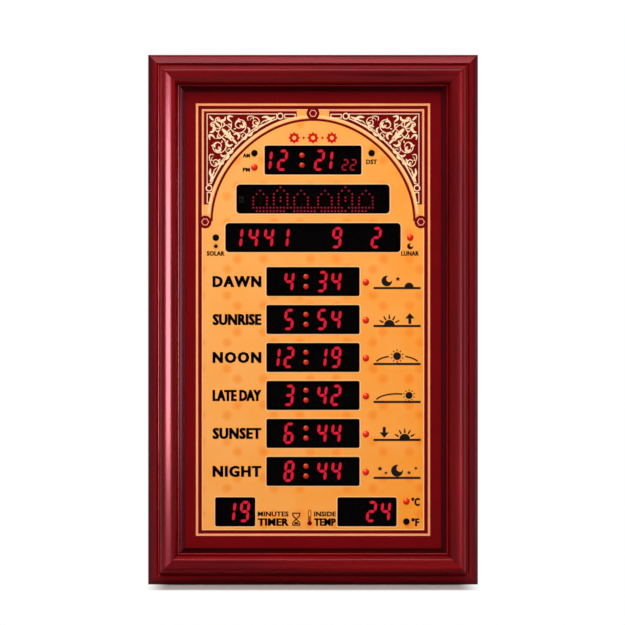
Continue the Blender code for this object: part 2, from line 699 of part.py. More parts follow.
def display(name, left, right, z, loops, colon_x=None):
    """Display block from left to right, with raised segments and an optional colon."""
    width = right - left
    height = WINDOW_HEIGHT + 2 * DISPLAY_MARGIN
    back = DISPLAY_FRONT - DISPLAY_DEPTH
    block = box(name, (width, DISPLAY_DEPTH, height), (left + right) / 2, back, z, DISPLAY)
    if loops:
        thickness = SEGMENT_RELIEF + SEGMENT_ROOT
        segments = plate(name + "_segments", loops, thickness)
        own(segments, None, 0, DISPLAY_FRONT + SEGMENT_RELIEF - thickness / 2, 0)
        boolean(block, segments, "UNION")
    if colon_x is not None:
        boolean(block, colon_domes(name, colon_x, z), "UNION")
    return block


time_left = -TIME_WINDOW_WIDTH / 2
time_right = TIME_WINDOW_WIDTH / 2
hours_right = time_left + TIME_TENS
minutes_left = hours_right + TIME_COLON_SPACE
minutes_right = minutes_left + TIME_PAIR
split = minutes_right + SLANT_REACH + GAP
hours_x = hours_right - DIGIT_WIDTH / 2
tens_segments = segment_loops(
    hours_x - TIME_DIGIT_PITCH, TIME_Z, DIGIT_WIDTH, DIGIT_HEIGHT, DIGIT_STROKE
)
# The tens of the hour only ever show a one, so that digit has just its two right bars
time_segments = tens_segments[RIGHT_BARS] + digit_group(hours_x, TIME_Z, 1, TIME_DIGIT_PITCH)
time_segments += digit_group(minutes_right - TIME_PAIR / 2, TIME_Z, 2, TIME_DIGIT_PITCH)
display(
    "time_display", time_left - DISPLAY_MARGIN, split - GAP / 2, TIME_Z, time_segments,
    colon_x=(hours_right + minutes_left) / 2 + TIME_COLON_SHIFT,
)
seconds_segments = digit_group(
    time_right - TIME_RIGHT_MARGIN - SECONDS_PAIR / 2, TIME_Z - SECONDS_DROP, 2, SECONDS_PITCH,
    SMALL_DIGIT_WIDTH, SMALL_DIGIT_HEIGHT, SMALL_DIGIT_STROKE,
)
display("seconds_display", split + GAP / 2, time_right + DISPLAY_MARGIN, TIME_Z, seconds_segments)

date_left = -DATE_WINDOW_WIDTH / 2
date_right = DATE_WINDOW_WIDTH / 2
year_right = date_left + DATE_LEFT_MARGIN + YEAR_SPAN
month_right = year_right + MONTH_GAP + TIME_PAIR
month_split = year_right + MONTH_GAP / 2
day_split = month_right + DAY_GAP / 2
display(
    "year_display", date_left - DISPLAY_MARGIN, month_split - GAP / 2, DATE_Z,
    digit_group(year_right - YEAR_SPAN / 2, DATE_Z, YEAR_DIGITS, TIME_DIGIT_PITCH),
)
display(
    "month_display", month_split + GAP / 2, day_split - GAP / 2, DATE_Z,
    digit_group(month_right - TIME_PAIR / 2, DATE_Z, 2, TIME_DIGIT_PITCH),
)
display(
    "day_display", day_split + GAP / 2, date_right + DISPLAY_MARGIN, DATE_Z,
    digit_group(date_right - DATE_RIGHT_MARGIN - TIME_PAIR / 2, DATE_Z, 2, TIME_DIGIT_PITCH),
)

row_half = ROW_WINDOW_WIDTH / 2 + DISPLAY_MARGIN
row_hours_x = ROW_LEFT_MARGIN + ROW_PAIR / 2 - ROW_WINDOW_WIDTH / 2
row_minutes_x = ROW_WINDOW_WIDTH / 2 - ROW_RIGHT_MARGIN - ROW_PAIR / 2
row_colon_x = (row_hours_x + row_minutes_x) / 2 + ROW_COLON_SHIFT
for row, z in enumerate(row_z):
    row_segments = digit_group(row_hours_x, z, 2, ROW_DIGIT_PITCH)
    row_segments += digit_group(row_minutes_x, z, 2, ROW_DIGIT_PITCH)
    display(f"row_display_{row + 1}", -row_half, row_half, z, row_segments, colon_x=row_colon_x)

countdown_left = COUNTDOWN_X - COUNTDOWN_WINDOW_WIDTH / 2
countdown_right = COUNTDOWN_X + COUNTDOWN_WINDOW_WIDTH / 2
display(
    "countdown_display", countdown_left - DISPLAY_MARGIN, countdown_right + DISPLAY_MARGIN, BOTTOM_Z,
    digit_group(countdown_right - COUNTDOWN_RIGHT_MARGIN - ROW_PAIR / 2, BOTTOM_Z, 2, ROW_DIGIT_PITCH),
)
temperature_left = TEMPERATURE_X - TEMPERATURE_WINDOW_WIDTH / 2
temperature_right = TEMPERATURE_X + TEMPERATURE_WINDOW_WIDTH / 2
temperature_digits_x = temperature_right - TEMPERATURE_RIGHT_MARGIN - TEMPERATURE_SPAN / 2
display(
    "temperature_display", temperature_left - DISPLAY_MARGIN, temperature_right + DISPLAY_MARGIN, BOTTOM_Z,
    digit_group(temperature_digits_x, BOTTOM_Z, TEMPERATURE_DIGITS, ROW_DIGIT_PITCH),
)

# Message display: five matrix modules on one base, parted by shallow seams
message_display = box(
    "message_display", (MATRIX_WIDTH, DISPLAY_DEPTH, MATRIX_MODULE),
    0, DISPLAY_FRONT - DISPLAY_DEPTH, MESSAGE_Z, DISPLAY,
)
for seam in range(1, MATRIX_MODULES):
    seam_x = MATRIX_MODULE * seam - MATRIX_WIDTH / 2
    seam_cutter = box(
        f"matrix_seam_{seam}",
        (MATRIX_SEAM, MATRIX_SEAM_DEPTH + OVERRUN, MATRIX_MODULE + OVERRUN),
        seam_x, DISPLAY_FRONT - MATRIX_SEAM_DEPTH, MESSAGE_Z,
    )
    boolean(message_display, seam_cutter, "DIFFERENCE")

# Indicator lamps: domed lamps on spacers, poking through the face
lamp_length = FILM_FRONT + LED_PROUD - BOARD_FRONT - GAP
flange_top = LED_SPACER_HEIGHT + LED_FLANGE_HEIGHT
lamp_profile = arc(0, lamp_length - LED_RADIUS, LED_RADIUS, LED_RADIUS, 90, 0, LED_DOME_STEPS)
lamp_profile[0] = (0, lamp_length)
lamp_profile += [
    (LED_RADIUS, flange_top),
    (LED_FLANGE_RADIUS, flange_top),
    (LED_FLANGE_RADIUS, LED_SPACER_HEIGHT),
    (LED_SPACER_RADIUS, LED_SPACER_HEIGHT),
    (LED_SPACER_RADIUS, 0),
    (0, 0),
]
lamp_mesh = turned_mesh("lamp", lamp_profile)
lamp_mesh.materials.append(LAMP)
for name, (x, z) in lamp_places.items():
    own(turned(name, None, LED_STEPS, mesh=lamp_mesh), None, x, BOARD_FRONT + GAP, z)

# Display board
board_height = BOARD_TOP - BOARD_BOTTOM
board_z = (BOARD_TOP + BOARD_BOTTOM) / 2
box(
    "display_board", (2 * BOARD_HALF_WIDTH, BOARD_THICKNESS, board_height),
    0, BOARD_BACK, board_z, GREEN_BOARD,
)

# Infrared receiver
receiver_x = -(MATRIX_WIDTH / 2 + RECEIVER_SPACE + RECEIVER_WIDTH / 2)
receiver = box(
    "infrared_receiver", (RECEIVER_WIDTH, RECEIVER_DEPTH, RECEIVER_HEIGHT),
    receiver_x, BOARD_FRONT + GAP, MESSAGE_Z, BLACK_PLASTIC,
)
lens_profile = arc(0, 0, RECEIVER_LENS_RADIUS, RECEIVER_LENS_RADIUS, 90, 0, LED_DOME_STEPS)
lens_profile[0] = (0, RECEIVER_LENS_RADIUS)
lens_profile += [(RECEIVER_LENS_RADIUS, -SEGMENT_ROOT), (0, -SEGMENT_ROOT)]
lens = own(
    turned("receiver_lens", lens_profile, LED_STEPS), None,
    receiver_x, BOARD_FRONT + GAP + RECEIVER_DEPTH, MESSAGE_Z,
)
boolean(receiver, lens, "UNION")


# Back cover

cover_bottom = -COVER_HEIGHT / 2
inlet_top = CONTROL_Z - CONTROL_HEIGHT / 2 + INLET_LENGTH
inlet_mouth = inlet_top - INLET_LENGTH
notch_top = inlet_top + 2 * GAP
cover_outline = [
    (-COVER_WIDTH / 2, cover_bottom),
    (INLET_X - CHANNEL_WIDTH / 2, cover_bottom),
    (INLET_X - CHANNEL_WIDTH / 2, notch_top),
    (INLET_X + CHANNEL_WIDTH / 2, notch_top),
    (INLET_X + CHANNEL_WIDTH / 2, cover_bottom),
    (COVER_WIDTH / 2, cover_bottom),
    (COVER_WIDTH / 2, COVER_HEIGHT / 2),
    (-COVER_WIDTH / 2, COVER_HEIGHT / 2),
]

screw_x = FRAME_WIDTH / 2 - COVER_EDGE - LEDGE_WIDTH / 2
screw_places = [(sign_x * screw_x, sign_z * SCREW_Z) for sign_x in (-1, 1) for sign_z in (1, -1)]
key_places = [(KEY_FIRST_X + KEY_PITCH * index, KEY_Z) for index in range(len(KEY_NAMES))]


def slot_loop(x, z, length, width):
    """Slot outline with round ends, lying across the clock."""
    half = length / 2 - width / 2
    right = arc(x + half, z, width / 2, width / 2, -90, 90, SLOT_END_STEPS)
    left = arc(x - half, z, width / 2, width / 2, 90, 270, SLOT_END_STEPS)
    return right + left


cover_holes = [circle(x, z, SCREW_SHANK_RADIUS + GAP) for x, z in screw_places]
cover_holes += [circle(x, z, KEY_RADIUS + GAP, KEY_STEPS) for x, z in key_places]
cover_holes.append(circle(KNOB_X, KEY_Z, POT_BUSH_RADIUS + GAP, POT_STEPS))
for slot in range(SLOT_COUNT):
    offset = SLOT_PITCH * (slot - (SLOT_COUNT - 1) / 2)
    reach = math.sqrt((SPEAKER_RADIUS - SPEAKER_FLANGE - SLOT_INSET) ** 2 - offset ** 2)
    cover_holes.append(slot_loop(SPEAKER_X, SPEAKER_Z + offset, 2 * reach, SLOT_WIDTH))

back_cover = plate("back_cover", [cover_outline] + cover_holes, COVER_THICKNESS, COVER)
own(back_cover, None, 0, COVER_RECESS + COVER_THICKNESS / 2, 0)


def round_posts(name, places, radius, height):
    """Solid round posts standing on the inside of the back cover."""
    posts = bmesh.new()
    for x, z in places:
        length = height + SEGMENT_ROOT
        turn = Matrix.Rotation(math.pi / 2, 4, "X")
        place = Matrix.Translation((x, -height / 2 + SEGMENT_ROOT / 2, z))
        bmesh.ops.create_cone(
            posts, cap_ends=True, segments=POST_STEPS, radius1=radius, radius2=radius,
            depth=length, matrix=place @ turn,
        )
    mesh = bpy.data.meshes.new(name)
    posts.to_mesh(mesh)
    posts.free()
    return own(mesh_object(name, mesh), None, 0, COVER_FRONT, 0)


post_heights = (BOARD_TOP - POST_TOP_INSET, BOARD_BOTTOM + POST_BOTTOM_INSET)
post_places = [(sign_x * POST_X, z) for sign_x in (-1, 1) for z in post_heights]
boss_x = CONTROL_WIDTH / 2 - BOSS_INSET
boss_z = CONTROL_HEIGHT / 2 - BOSS_INSET
boss_places = [
    (CONTROL_X + sign_x * boss_x, CONTROL_Z + sign_z * boss_z) for sign_x in (-1, 1) for sign_z in (-1, 1)
]
post_height = BOARD_BACK - GAP - COVER_FRONT
boolean(back_cover, round_posts("clamp_posts", post_places, POST_RADIUS, post_height), "UNION")
boolean(back_cover, round_posts("board_bosses", boss_places, BOSS_RADIUS, BOSS_HEIGHT), "UNION")


# Screws


def screw(name, x, seat, z, length):
    """Pan-head screw with a cross recess, its head towards the wall and resting at seat."""
    profile = [
        (0, SCREW_HEAD_HEIGHT),
        (SCREW_HEAD_RADIUS * SCREW_CROWN_SHARE, SCREW_HEAD_HEIGHT),
        (SCREW_HEAD_RADIUS, SCREW_HEAD_HEIGHT * SCREW_SIDE_SHARE),
        (SCREW_HEAD_RADIUS, 0),
        (SCREW_SHANK_RADIUS, 0),
        (SCREW_SHANK_RADIUS, SCREW_TIP - length),
        (0, -length),
    ]
    body = backward(turned(name, profile, SCREW_STEPS, STEEL))
    own(body, None, x, seat - GAP, z)
    floor = seat - GAP - SCREW_HEAD_HEIGHT + SCREW_RECESS_DEPTH
    for index, (wide, tall) in enumerate((
        (SCREW_RECESS_LENGTH, SCREW_RECESS_WIDTH), (SCREW_RECESS_WIDTH, SCREW_RECESS_LENGTH),
    )):
        depth = SCREW_RECESS_DEPTH + OVERRUN
        slot_cutter = box(f"{name}_recess_{index}", (wide, depth, tall), x, floor - depth, z)
        boolean(body, slot_cutter, "DIFFERENCE")
    return body


def pilot_hole(name, member, x, start, z, length):
    """Blind hole for a screw's shank, from a face at the given depth."""
    radius = SCREW_SHANK_RADIUS + GAP
    bottom = length + GAP
    profile = [(0, bottom), (radius, bottom), (radius, -OVERRUN), (0, -OVERRUN)]
    hole = turned(name, profile, SCREW_STEPS)
    own(hole, None, x, start, z)
    boolean(member, hole, "DIFFERENCE")


for index, (x, z) in enumerate(screw_places):
    screw(f"cover_screw_{index + 1}", x, COVER_RECESS, z, SCREW_LENGTH)
    stile = left_stile if x < 0 else right_stile
    pilot_hole(f"pilot_{index + 1}", stile, x, LEDGE_DEPTH, z, SCREW_LENGTH - COVER_THICKNESS)


# Control board with its push switches

control_board = box(
    "control_board", (CONTROL_WIDTH, BOARD_THICKNESS, CONTROL_HEIGHT),
    CONTROL_X, CONTROL_BACK, CONTROL_Z, GREEN_BOARD,
)
key_inner = COVER_FRONT + GAP + KEY_FLANGE_HEIGHT + KEY_STEM_LENGTH
switch_top = key_inner + KEY_TRAVEL + SWITCH_CLEARANCE
for index, (x, z) in enumerate(key_places):
    switch_depth = CONTROL_BACK - switch_top + SEGMENT_ROOT
    push_switch = box(
        f"push_switch_{index + 1}", (SWITCH_SIZE, switch_depth, SWITCH_SIZE), x, switch_top, z
    )
    boolean(control_board, push_switch, "UNION")

# Keys: each slides in towards the front when it is pressed from the back
key_length = key_inner - COVER_RECESS + KEY_PROUD
flange_start = KEY_STEM_LENGTH + KEY_FLANGE_HEIGHT
key_profile = [
    (0, key_length),
    (KEY_RADIUS - KEY_EDGE, key_length),
    (KEY_RADIUS, key_length - KEY_EDGE),
    (KEY_RADIUS, flange_start),
    (KEY_FLANGE_RADIUS, flange_start),
    (KEY_FLANGE_RADIUS, KEY_STEM_LENGTH),
    (KEY_STEM_RADIUS, KEY_STEM_LENGTH),
    (KEY_STEM_RADIUS, 0),
    (0, 0),
]
key_mesh = turned_mesh("key", key_profile)
key_mesh.materials.append(GREY_PLASTIC)
for name, (x, z) in zip(KEY_NAMES, key_places):
    key = backward(turned(name, None, KEY_STEPS, mesh=key_mesh))
    own(key, None, x, key_inner, z)

# Parts on the front of the control board
part_depth = CONTROL_FRONT + GAP
box(
    "processor_chip", (CHIP_WIDTH, CHIP_DEPTH, CHIP_HEIGHT),
    CHIP_X, part_depth, CONTROL_Z - CHIP_HEIGHT / 2, BLACK_PLASTIC,
)
holder_radius = CELL_RADIUS + HOLDER_WALL + GAP
holder_height = HOLDER_FLOOR + GAP + CELL_DEPTH
holder_profile = [
    (0, HOLDER_FLOOR),
    (CELL_RADIUS + GAP, HOLDER_FLOOR),
    (CELL_RADIUS + GAP, holder_height),
    (holder_radius, holder_height),
    (holder_radius, 0),
    (0, 0),
]
own(
    turned("coin_cell_holder", holder_profile, CELL_STEPS, BLACK_PLASTIC), None,
    CELL_X, part_depth, CONTROL_Z,
)
cell_profile = [
    (0, CELL_DEPTH),
    (CELL_RADIUS - CELL_BEVEL, CELL_DEPTH),
    (CELL_RADIUS, CELL_DEPTH - CELL_BEVEL),
    (CELL_RADIUS, 0),
    (0, 0),
]
own(
    turned("coin_cell", cell_profile, CELL_STEPS, STEEL), None,
    CELL_X, part_depth + HOLDER_FLOOR + GAP, CONTROL_Z,
)

# Ribbon cable: leaves the control board, rises, and meets the back of the display board
ribbon_end = BOARD_BACK - GAP - part_depth
ribbon_middle = ribbon_end / 2
half_ribbon = RIBBON_THICKNESS / 2
ribbon_loop = [
    (-half_ribbon, 0),
    (half_ribbon, 0),
    (half_ribbon, ribbon_middle - half_ribbon),
    (RIBBON_RISE + half_ribbon, ribbon_middle - half_ribbon),
    (RIBBON_RISE + half_ribbon, ribbon_end),
    (RIBBON_RISE - half_ribbon, ribbon_end),
    (RIBBON_RISE - half_ribbon, ribbon_middle + half_ribbon),
    (-half_ribbon, ribbon_middle + half_ribbon),
]
ribbon = plate("ribbon_cable", [ribbon_loop], RIBBON_WIDTH, GREY_PLASTIC)
orient(ribbon, (0, 0, 1), (0, -1, 0))
own(ribbon, None, CHIP_X, part_depth, CONTROL_Z + CHIP_HEIGHT / 2)

# Power inlet: a block with a blind bore and a centre pin, opening downwards
inlet_back = CONTROL_BACK - GAP - INLET_DEPTH
inlet = box(
    "power_inlet", (INLET_WIDTH, INLET_DEPTH, INLET_LENGTH),
    INLET_X, inlet_back, inlet_mouth + INLET_LENGTH / 2, BLACK_PLASTIC,
)
inlet_profile = [
    (INLET_PIN_RADIUS, INLET_BORE_DEPTH),
    (INLET_BORE_RADIUS, INLET_BORE_DEPTH),
    (INLET_BORE_RADIUS, -OVERRUN),
    (INLET_PIN_RADIUS, -OVERRUN),
    (INLET_PIN_RADIUS, INLET_BORE_DEPTH),
]
inlet_bore = turned("inlet_bore", inlet_profile, INLET_STEPS)
inlet_bore.rotation_euler = (0, 0, 0)
own(inlet_bore, None, INLET_X, inlet_back + INLET_DEPTH / 2, inlet_mouth)
boolean(inlet, inlet_bore, "DIFFERENCE")


# Volume control

pot_profile = [
    (0, COVER_FRONT + GAP - COVER_RECESS + POT_SHAFT_LENGTH),
    (POT_SHAFT_RADIUS, COVER_FRONT + GAP - COVER_RECESS + POT_SHAFT_LENGTH),
    (POT_SHAFT_RADIUS, COVER_THICKNESS),
    (POT_BUSH_RADIUS, COVER_THICKNESS),
    (POT_BUSH_RADIUS, 0),
    (POT_RADIUS, 0),
    (POT_RADIUS, -POT_HEIGHT),
    (0, -POT_HEIGHT),
]
pot = backward(turned("volume_potentiometer", pot_profile, POT_STEPS, GREY_PLASTIC))
own(pot, None, KNOB_X, COVER_FRONT + GAP, KEY_Z)

knob_loop = []
for step in range(KNOB_OUTLINE_STEPS):
    angle = 2 * math.pi * step / KNOB_OUTLINE_STEPS
    radius = KNOB_RADIUS - KNOB_FLUTE * (1 - math.cos(KNOB_FLUTES * angle)) / 2
    knob_loop.append((radius * math.cos(angle), radius * math.sin(angle)))
knob_front = COVER_RECESS - GAP
knob_back = knob_front - KNOB_HEIGHT
knob = plate("volume_knob", [knob_loop], KNOB_HEIGHT, BLACK_PLASTIC)
own(knob, None, KNOB_X, (knob_front + knob_back) / 2, KEY_Z)
bore_radius = POT_SHAFT_RADIUS + GAP
knob_bore_profile = [
    (0, KNOB_BORE_DEPTH), (bore_radius, KNOB_BORE_DEPTH), (bore_radius, -OVERRUN), (0, -OVERRUN),
]
knob_bore = backward(turned("knob_bore", knob_bore_profile, POT_STEPS))
own(knob_bore, None, KNOB_X, knob_front, KEY_Z)
boolean(knob, knob_bore, "DIFFERENCE")
mark_depth = KNOB_MARK_DEPTH + OVERRUN
knob_mark = box(
    "knob_mark", (KNOB_MARK_WIDTH, mark_depth, KNOB_RADIUS),
    KNOB_X, knob_back - OVERRUN, KEY_Z + KNOB_RADIUS / 2 + KNOB_MARK_WIDTH,
)
boolean(knob, knob_mark, "DIFFERENCE")


# Speaker

basket_inner = SPEAKER_RADIUS - SPEAKER_FLANGE
basket_profile = [
    (0, SPEAKER_BASKET_DEPTH),
    (SPEAKER_NECK_RADIUS, SPEAKER_BASKET_DEPTH),
    (basket_inner, SPEAKER_FLANGE_HEIGHT),
    (SPEAKER_RADIUS, SPEAKER_FLANGE_HEIGHT),
    (SPEAKER_RADIUS, 0),
    (basket_inner - SPEAKER_WALL, 0),
    (SPEAKER_NECK_RADIUS - SPEAKER_WALL, SPEAKER_BASKET_DEPTH - SPEAKER_WALL),
    (0, SPEAKER_BASKET_DEPTH - SPEAKER_WALL),
]
speaker_back = COVER_FRONT + GAP
basket = turned("speaker_basket", basket_profile, SPEAKER_STEPS, STEEL)
own(basket, None, SPEAKER_X, speaker_back, SPEAKER_Z)

magnet_start = speaker_back + SPEAKER_BASKET_DEPTH + GAP
magnet_height = BOARD_BACK - GAP - magnet_start
magnet_profile = [
    (0, magnet_height),
    (MAGNET_RADIUS - MAGNET_BEVEL, magnet_height),
    (MAGNET_RADIUS, magnet_height - MAGNET_BEVEL),
    (MAGNET_RADIUS, MAGNET_BEVEL),
    (MAGNET_RADIUS - MAGNET_BEVEL, 0),
    (0, 0),
]
magnet = turned("speaker_magnet", magnet_profile, SPEAKER_STEPS, FERRITE)
own(magnet, None, SPEAKER_X, magnet_start, SPEAKER_Z)

# The cone lies in the basket, its rim up against the slots and its dust cap facing them
wall_slope = (SPEAKER_BASKET_DEPTH - SPEAKER_FLANGE_HEIGHT) / (basket_inner - SPEAKER_NECK_RADIUS)
cone_rim = basket_inner - SPEAKER_WALL - GAP - 2 * CONE_THICKNESS / wall_slope
cone_slope = (SPEAKER_BASKET_DEPTH - SPEAKER_WALL - GAP) / (cone_rim - DUST_CAP_RADIUS)


def cone_height(radius):
    """Height of the cone's outer face, which meets the basket's floor at the dust cap."""
    return cone_slope * (cone_rim - radius)


cone_roll = cone_rim - CONE_SURROUND
cap_base = cone_height(DUST_CAP_RADIUS)
cap_shoulder = cap_base - DUST_CAP_RISE * DUST_CAP_SHOULDER_SHARE
cone_profile = [
    (0, cap_base - DUST_CAP_RISE + CONE_THICKNESS),
    (DUST_CAP_RADIUS / 2, cap_shoulder + CONE_THICKNESS),
    (DUST_CAP_RADIUS, cap_base),
    (cone_roll, cone_height(cone_roll)),
    (cone_rim, CONE_THICKNESS),
    (cone_rim, 0),
    (cone_roll, cone_height(cone_roll) - CONE_THICKNESS),
    (DUST_CAP_RADIUS, cap_base - CONE_THICKNESS),
    (DUST_CAP_RADIUS / 2, cap_shoulder),
    (0, cap_base - DUST_CAP_RISE),
]
cone = turned("speaker_cone", cone_profile, SPEAKER_STEPS, PAPER)
own(cone, None, SPEAKER_X, speaker_back, SPEAKER_Z)


# Hanger: a strap in the top rail's pocket, with a ring through its knuckle

strap_front = POCKET_DEPTH - GAP
strap_back = strap_front - STRAP_THICKNESS
knuckle_radius = RING_BORE_RADIUS + STRAP_THICKNESS
knuckle_depth = (strap_front + strap_back) / 2
strap_top_z = FRAME_HEIGHT / 2 - POCKET_TOP - 2 * GAP
knuckle_z = FRAME_HEIGHT / 2 - RAIL_BACK_WIDTH - knuckle_radius - KNUCKLE_CLEARANCE
strap_reach = strap_top_z - knuckle_z
half_strap = STRAP_THICKNESS / 2
meet = math.degrees(math.asin(half_strap / knuckle_radius))
strap_loop = arc(0, 0, knuckle_radius, knuckle_radius, 90 + meet, 450 - meet, KNUCKLE_STEPS)
strap_loop += [(half_strap, strap_reach), (-half_strap, strap_reach)]
strap_bore = circle(0, 0, RING_BORE_RADIUS, HOLE_STEPS)
strap = plate("hanger_strap", [strap_loop, strap_bore], STRAP_WIDTH, STEEL)
orient(strap, (0, -1, 0), (0, 0, 1))
own(strap, None, 0, knuckle_depth, knuckle_z)

hanger_screw_z = strap_top_z - HANGER_SCREW_DROP
strap_hole_profile = [
    (0, OVERRUN), (SCREW_SHANK_RADIUS + GAP, OVERRUN),
    (SCREW_SHANK_RADIUS + GAP, -OVERRUN), (0, -OVERRUN),
]
strap_hole = turned("strap_hole", strap_hole_profile, SCREW_STEPS)
own(strap_hole, None, 0, knuckle_depth, hanger_screw_z)
boolean(strap, strap_hole, "DIFFERENCE")
screw("hanger_screw", 0, strap_back, hanger_screw_z, HANGER_SCREW_LENGTH)
pilot_hole("hanger_pilot", top_rail, 0, POCKET_DEPTH, hanger_screw_z, HANGER_SCREW_LENGTH)

# The ring hangs down from its straight bar, which lies on the hinge's axis
ring_curve = bpy.data.curves.new("hanger_ring", "CURVE")
ring_curve.dimensions = "3D"
ring_curve.bevel_depth = RING_WIRE_RADIUS
ring_curve.bevel_resolution = 1
ring_points = [(-RING_HALF_WIDTH, 0), (0, 0), (RING_HALF_WIDTH, 0)]
ring_points += arc(0, -RING_DROP, RING_HALF_WIDTH, RING_HALF_WIDTH, 0, -180, RING_ARC_STEPS)
ring_spline = ring_curve.splines.new("POLY")
ring_spline.points.add(len(ring_points) - 1)
for point, (x, z) in zip(ring_spline.points, ring_points):
    point.co = (x, 0, z, 1)
ring_spline.use_cyclic_u = True
ring_curve.materials.append(STEEL)
own(mesh_object("hanger_ring", ring_curve), None, 0, knuckle_depth, knuckle_z)

for obj in PARTS.objects:
    if obj.type == "MESH":
        obj.data.set_sharp_from_angle(angle=math.radians(35.0))
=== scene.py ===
"""Dresses the wall clock: its moulded frame, printed face, lit digits, lamps and back.

The face is worked in its own plane: x to the right and z up from its centre, and depth
out from the wall. All sizes are real ones.
"""

import json
import math

import bpy
from bpy.props import FloatProperty, FloatVectorProperty, IntProperty, PointerProperty
from mathutils import Matrix, Vector


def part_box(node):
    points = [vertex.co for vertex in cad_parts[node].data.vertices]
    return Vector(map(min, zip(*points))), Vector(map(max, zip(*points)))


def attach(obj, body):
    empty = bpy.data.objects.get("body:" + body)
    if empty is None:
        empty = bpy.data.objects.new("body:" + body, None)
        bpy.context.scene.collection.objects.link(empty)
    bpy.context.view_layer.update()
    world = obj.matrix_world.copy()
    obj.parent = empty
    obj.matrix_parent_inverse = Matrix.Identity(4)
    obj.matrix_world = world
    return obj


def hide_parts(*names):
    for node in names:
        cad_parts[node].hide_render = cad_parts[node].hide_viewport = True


bl_info = {
    "name": "Wall clock builder",
    "version": (1, 0, 0),
    "blender": (4, 5, 0),
    "location": "View3D > Sidebar > Clock",
    "description": "Builds the looks of a wall clock with a printed face and lit digits",
    "category": "Object",
}

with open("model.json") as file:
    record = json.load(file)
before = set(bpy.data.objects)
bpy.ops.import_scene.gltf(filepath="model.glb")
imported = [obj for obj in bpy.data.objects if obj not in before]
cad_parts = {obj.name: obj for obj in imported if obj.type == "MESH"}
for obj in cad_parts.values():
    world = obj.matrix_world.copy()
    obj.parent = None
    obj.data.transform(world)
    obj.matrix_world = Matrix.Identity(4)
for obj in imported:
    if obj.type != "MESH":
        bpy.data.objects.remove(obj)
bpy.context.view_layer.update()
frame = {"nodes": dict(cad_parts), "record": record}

MM = 0.001
BODY = "clock_body"
WELD_DISTANCE = 0.000001
BUMP_DISTANCE = 0.0003

# Places that come from the frame
STILE_LOW, STILE_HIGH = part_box("frame_left_stile")
FRAME_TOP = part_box("frame_top_rail")[1].z
FRAME_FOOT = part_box("frame_bottom_rail")[0].z
FACE_Z = (FRAME_TOP + FRAME_FOOT) / 2
FRAME_HALF_HEIGHT = (FRAME_TOP - FRAME_FOOT) / 2
FRAME_HALF_WIDTH = -STILE_LOW.x
MOULDING_WIDTH = STILE_HIGH.x - STILE_LOW.x
FILM_FRONT = -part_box("face_film")[0].y
FILM_BACK = -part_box("face_film")[1].y
DISPLAY_BACK = -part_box("message_display")[1].y
DISPLAY_FRONT = -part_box("message_display")[0].y
DIGIT_FRONT = -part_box("year_display")[0].y

# Moulding, measured inwards from the frame's outer edge
EDGE_DEPTH = 39.4 * MM
EDGE_RADIUS = 2.2 * MM
BAND_WIDTH = 8.4 * MM
BAND_RISE = 4.2 * MM
COVE_WIDTH = 3.4 * MM
COVE_DROP = 1.8 * MM
TORUS_WIDTH = 20.0 * MM
TORUS_HEIGHT = 13.2 * MM
TORUS_POWER = 3.0
TORUS_STEPS = 40
BEAD_RADIUS = 1.5 * MM
BEAD_DROP = 1.6 * MM
GROOVE_WIDTH = 2.6 * MM
GROOVE_DROP = 3.4 * MM
LIP_RADIUS = 1.0 * MM
REBATE_DEPTH = 37.0 * MM
REBATE_WIDTH = 7.0 * MM
LEDGE_DEPTH = 9.8 * MM
LEDGE_WIDTH = 12.0 * MM
MITRE_GAP = 0.12 * MM
# Painted shade in the inner groove by the sight edge: the wood there is darkened and its gloss dulled, as a
# shadow would darken it.
GROOVE_SHADE_START = 33.0 * MM
GROOVE_SHADE_FADE = 1.5 * MM
GROOVE_SHADE_TOP = 40.6 * MM
GROOVE_SHADE_BOTTOM = 39.0 * MM
GROOVE_SHADE_STRENGTH = 0.85
WOOD_COAT = 0.14
WOOD_COAT_ROUGHNESS = 0.22
WOOD_SPECULAR = 0.2
WOOD_TINT = (1.0, 0.12, 0.2, 1.0)
# Painted shade: the wood darkens towards its outer edge, more on the stiles than on the rails, which get more
# light from above.
EDGE_SHADE_WIDTH = 13.0 * MM
STILE_EDGE_SHADE = 0.78
RAIL_EDGE_SHADE = 0.4

# Cuts in the back of the rails
POCKET_WIDTH = 25.0 * MM
POCKET_DEPTH = 4.4 * MM
POCKET_TOP = 10.0 * MM
CHANNEL_WIDTH = 13.0 * MM
CHANNEL_DEPTH = 16.5 * MM
OVERRUN = 2.0 * MM

# Print on the face
INK = 0.06 * MM
LINE_FLATNESS = 0.05
FIELD_HALF_WIDTH = 130.1 * MM
FIELD_HALF_HEIGHT = 246.4 * MM
GOLD_HALF_WIDTH = 135.8 * MM
GOLD_HALF_HEIGHT = 251.8 * MM
GOLD_WIDTH = 2.6 * MM
RIM_WIDTH = 1.1 * MM
ARCH_Z = 115.4 * MM
ARCH_RADIUS = 117.5 * MM
ARCH_SWELL = 1.2 * MM
ARCH_LINE_WIDTH = 3.2 * MM
ARCH_BAND_OFFSET = 3.9 * MM
ARCH_BAND_WIDTH = 3.3 * MM
SPANDREL_OFFSET = 5.5 * MM
SPANDREL_BORDER_OFFSET = 9.4 * MM
SPANDREL_LINE_WIDTH = 1.8 * MM
SPANDREL_FOOT_Z = 134.9 * MM
SPANDREL_INNER_X = 19.0 * MM
SPANDREL_EDGE_WIDTH = 2.3 * MM
SPANDREL_CORNER_X = -124.0 * MM
SPANDREL_CORNER_Z = 240.9 * MM
ROSETTE_RADIUS = 7.5 * MM
ROSETTE_RING_RADIUS = 3.7 * MM
ROSETTE_X = 126.3 * MM
ROSETTE_Z = 114.4 * MM
ROSETTE_TOP_Z = 241.6 * MM
LATTICE_X = 97.5 * MM
LATTICE_Z = 0.8 * MM
LATTICE_TURN = math.radians(45)
LATTICE_PITCH = 60.4 * MM
LATTICE_BLOB = 8.0 * MM
LATTICE_SHARE = 0.357

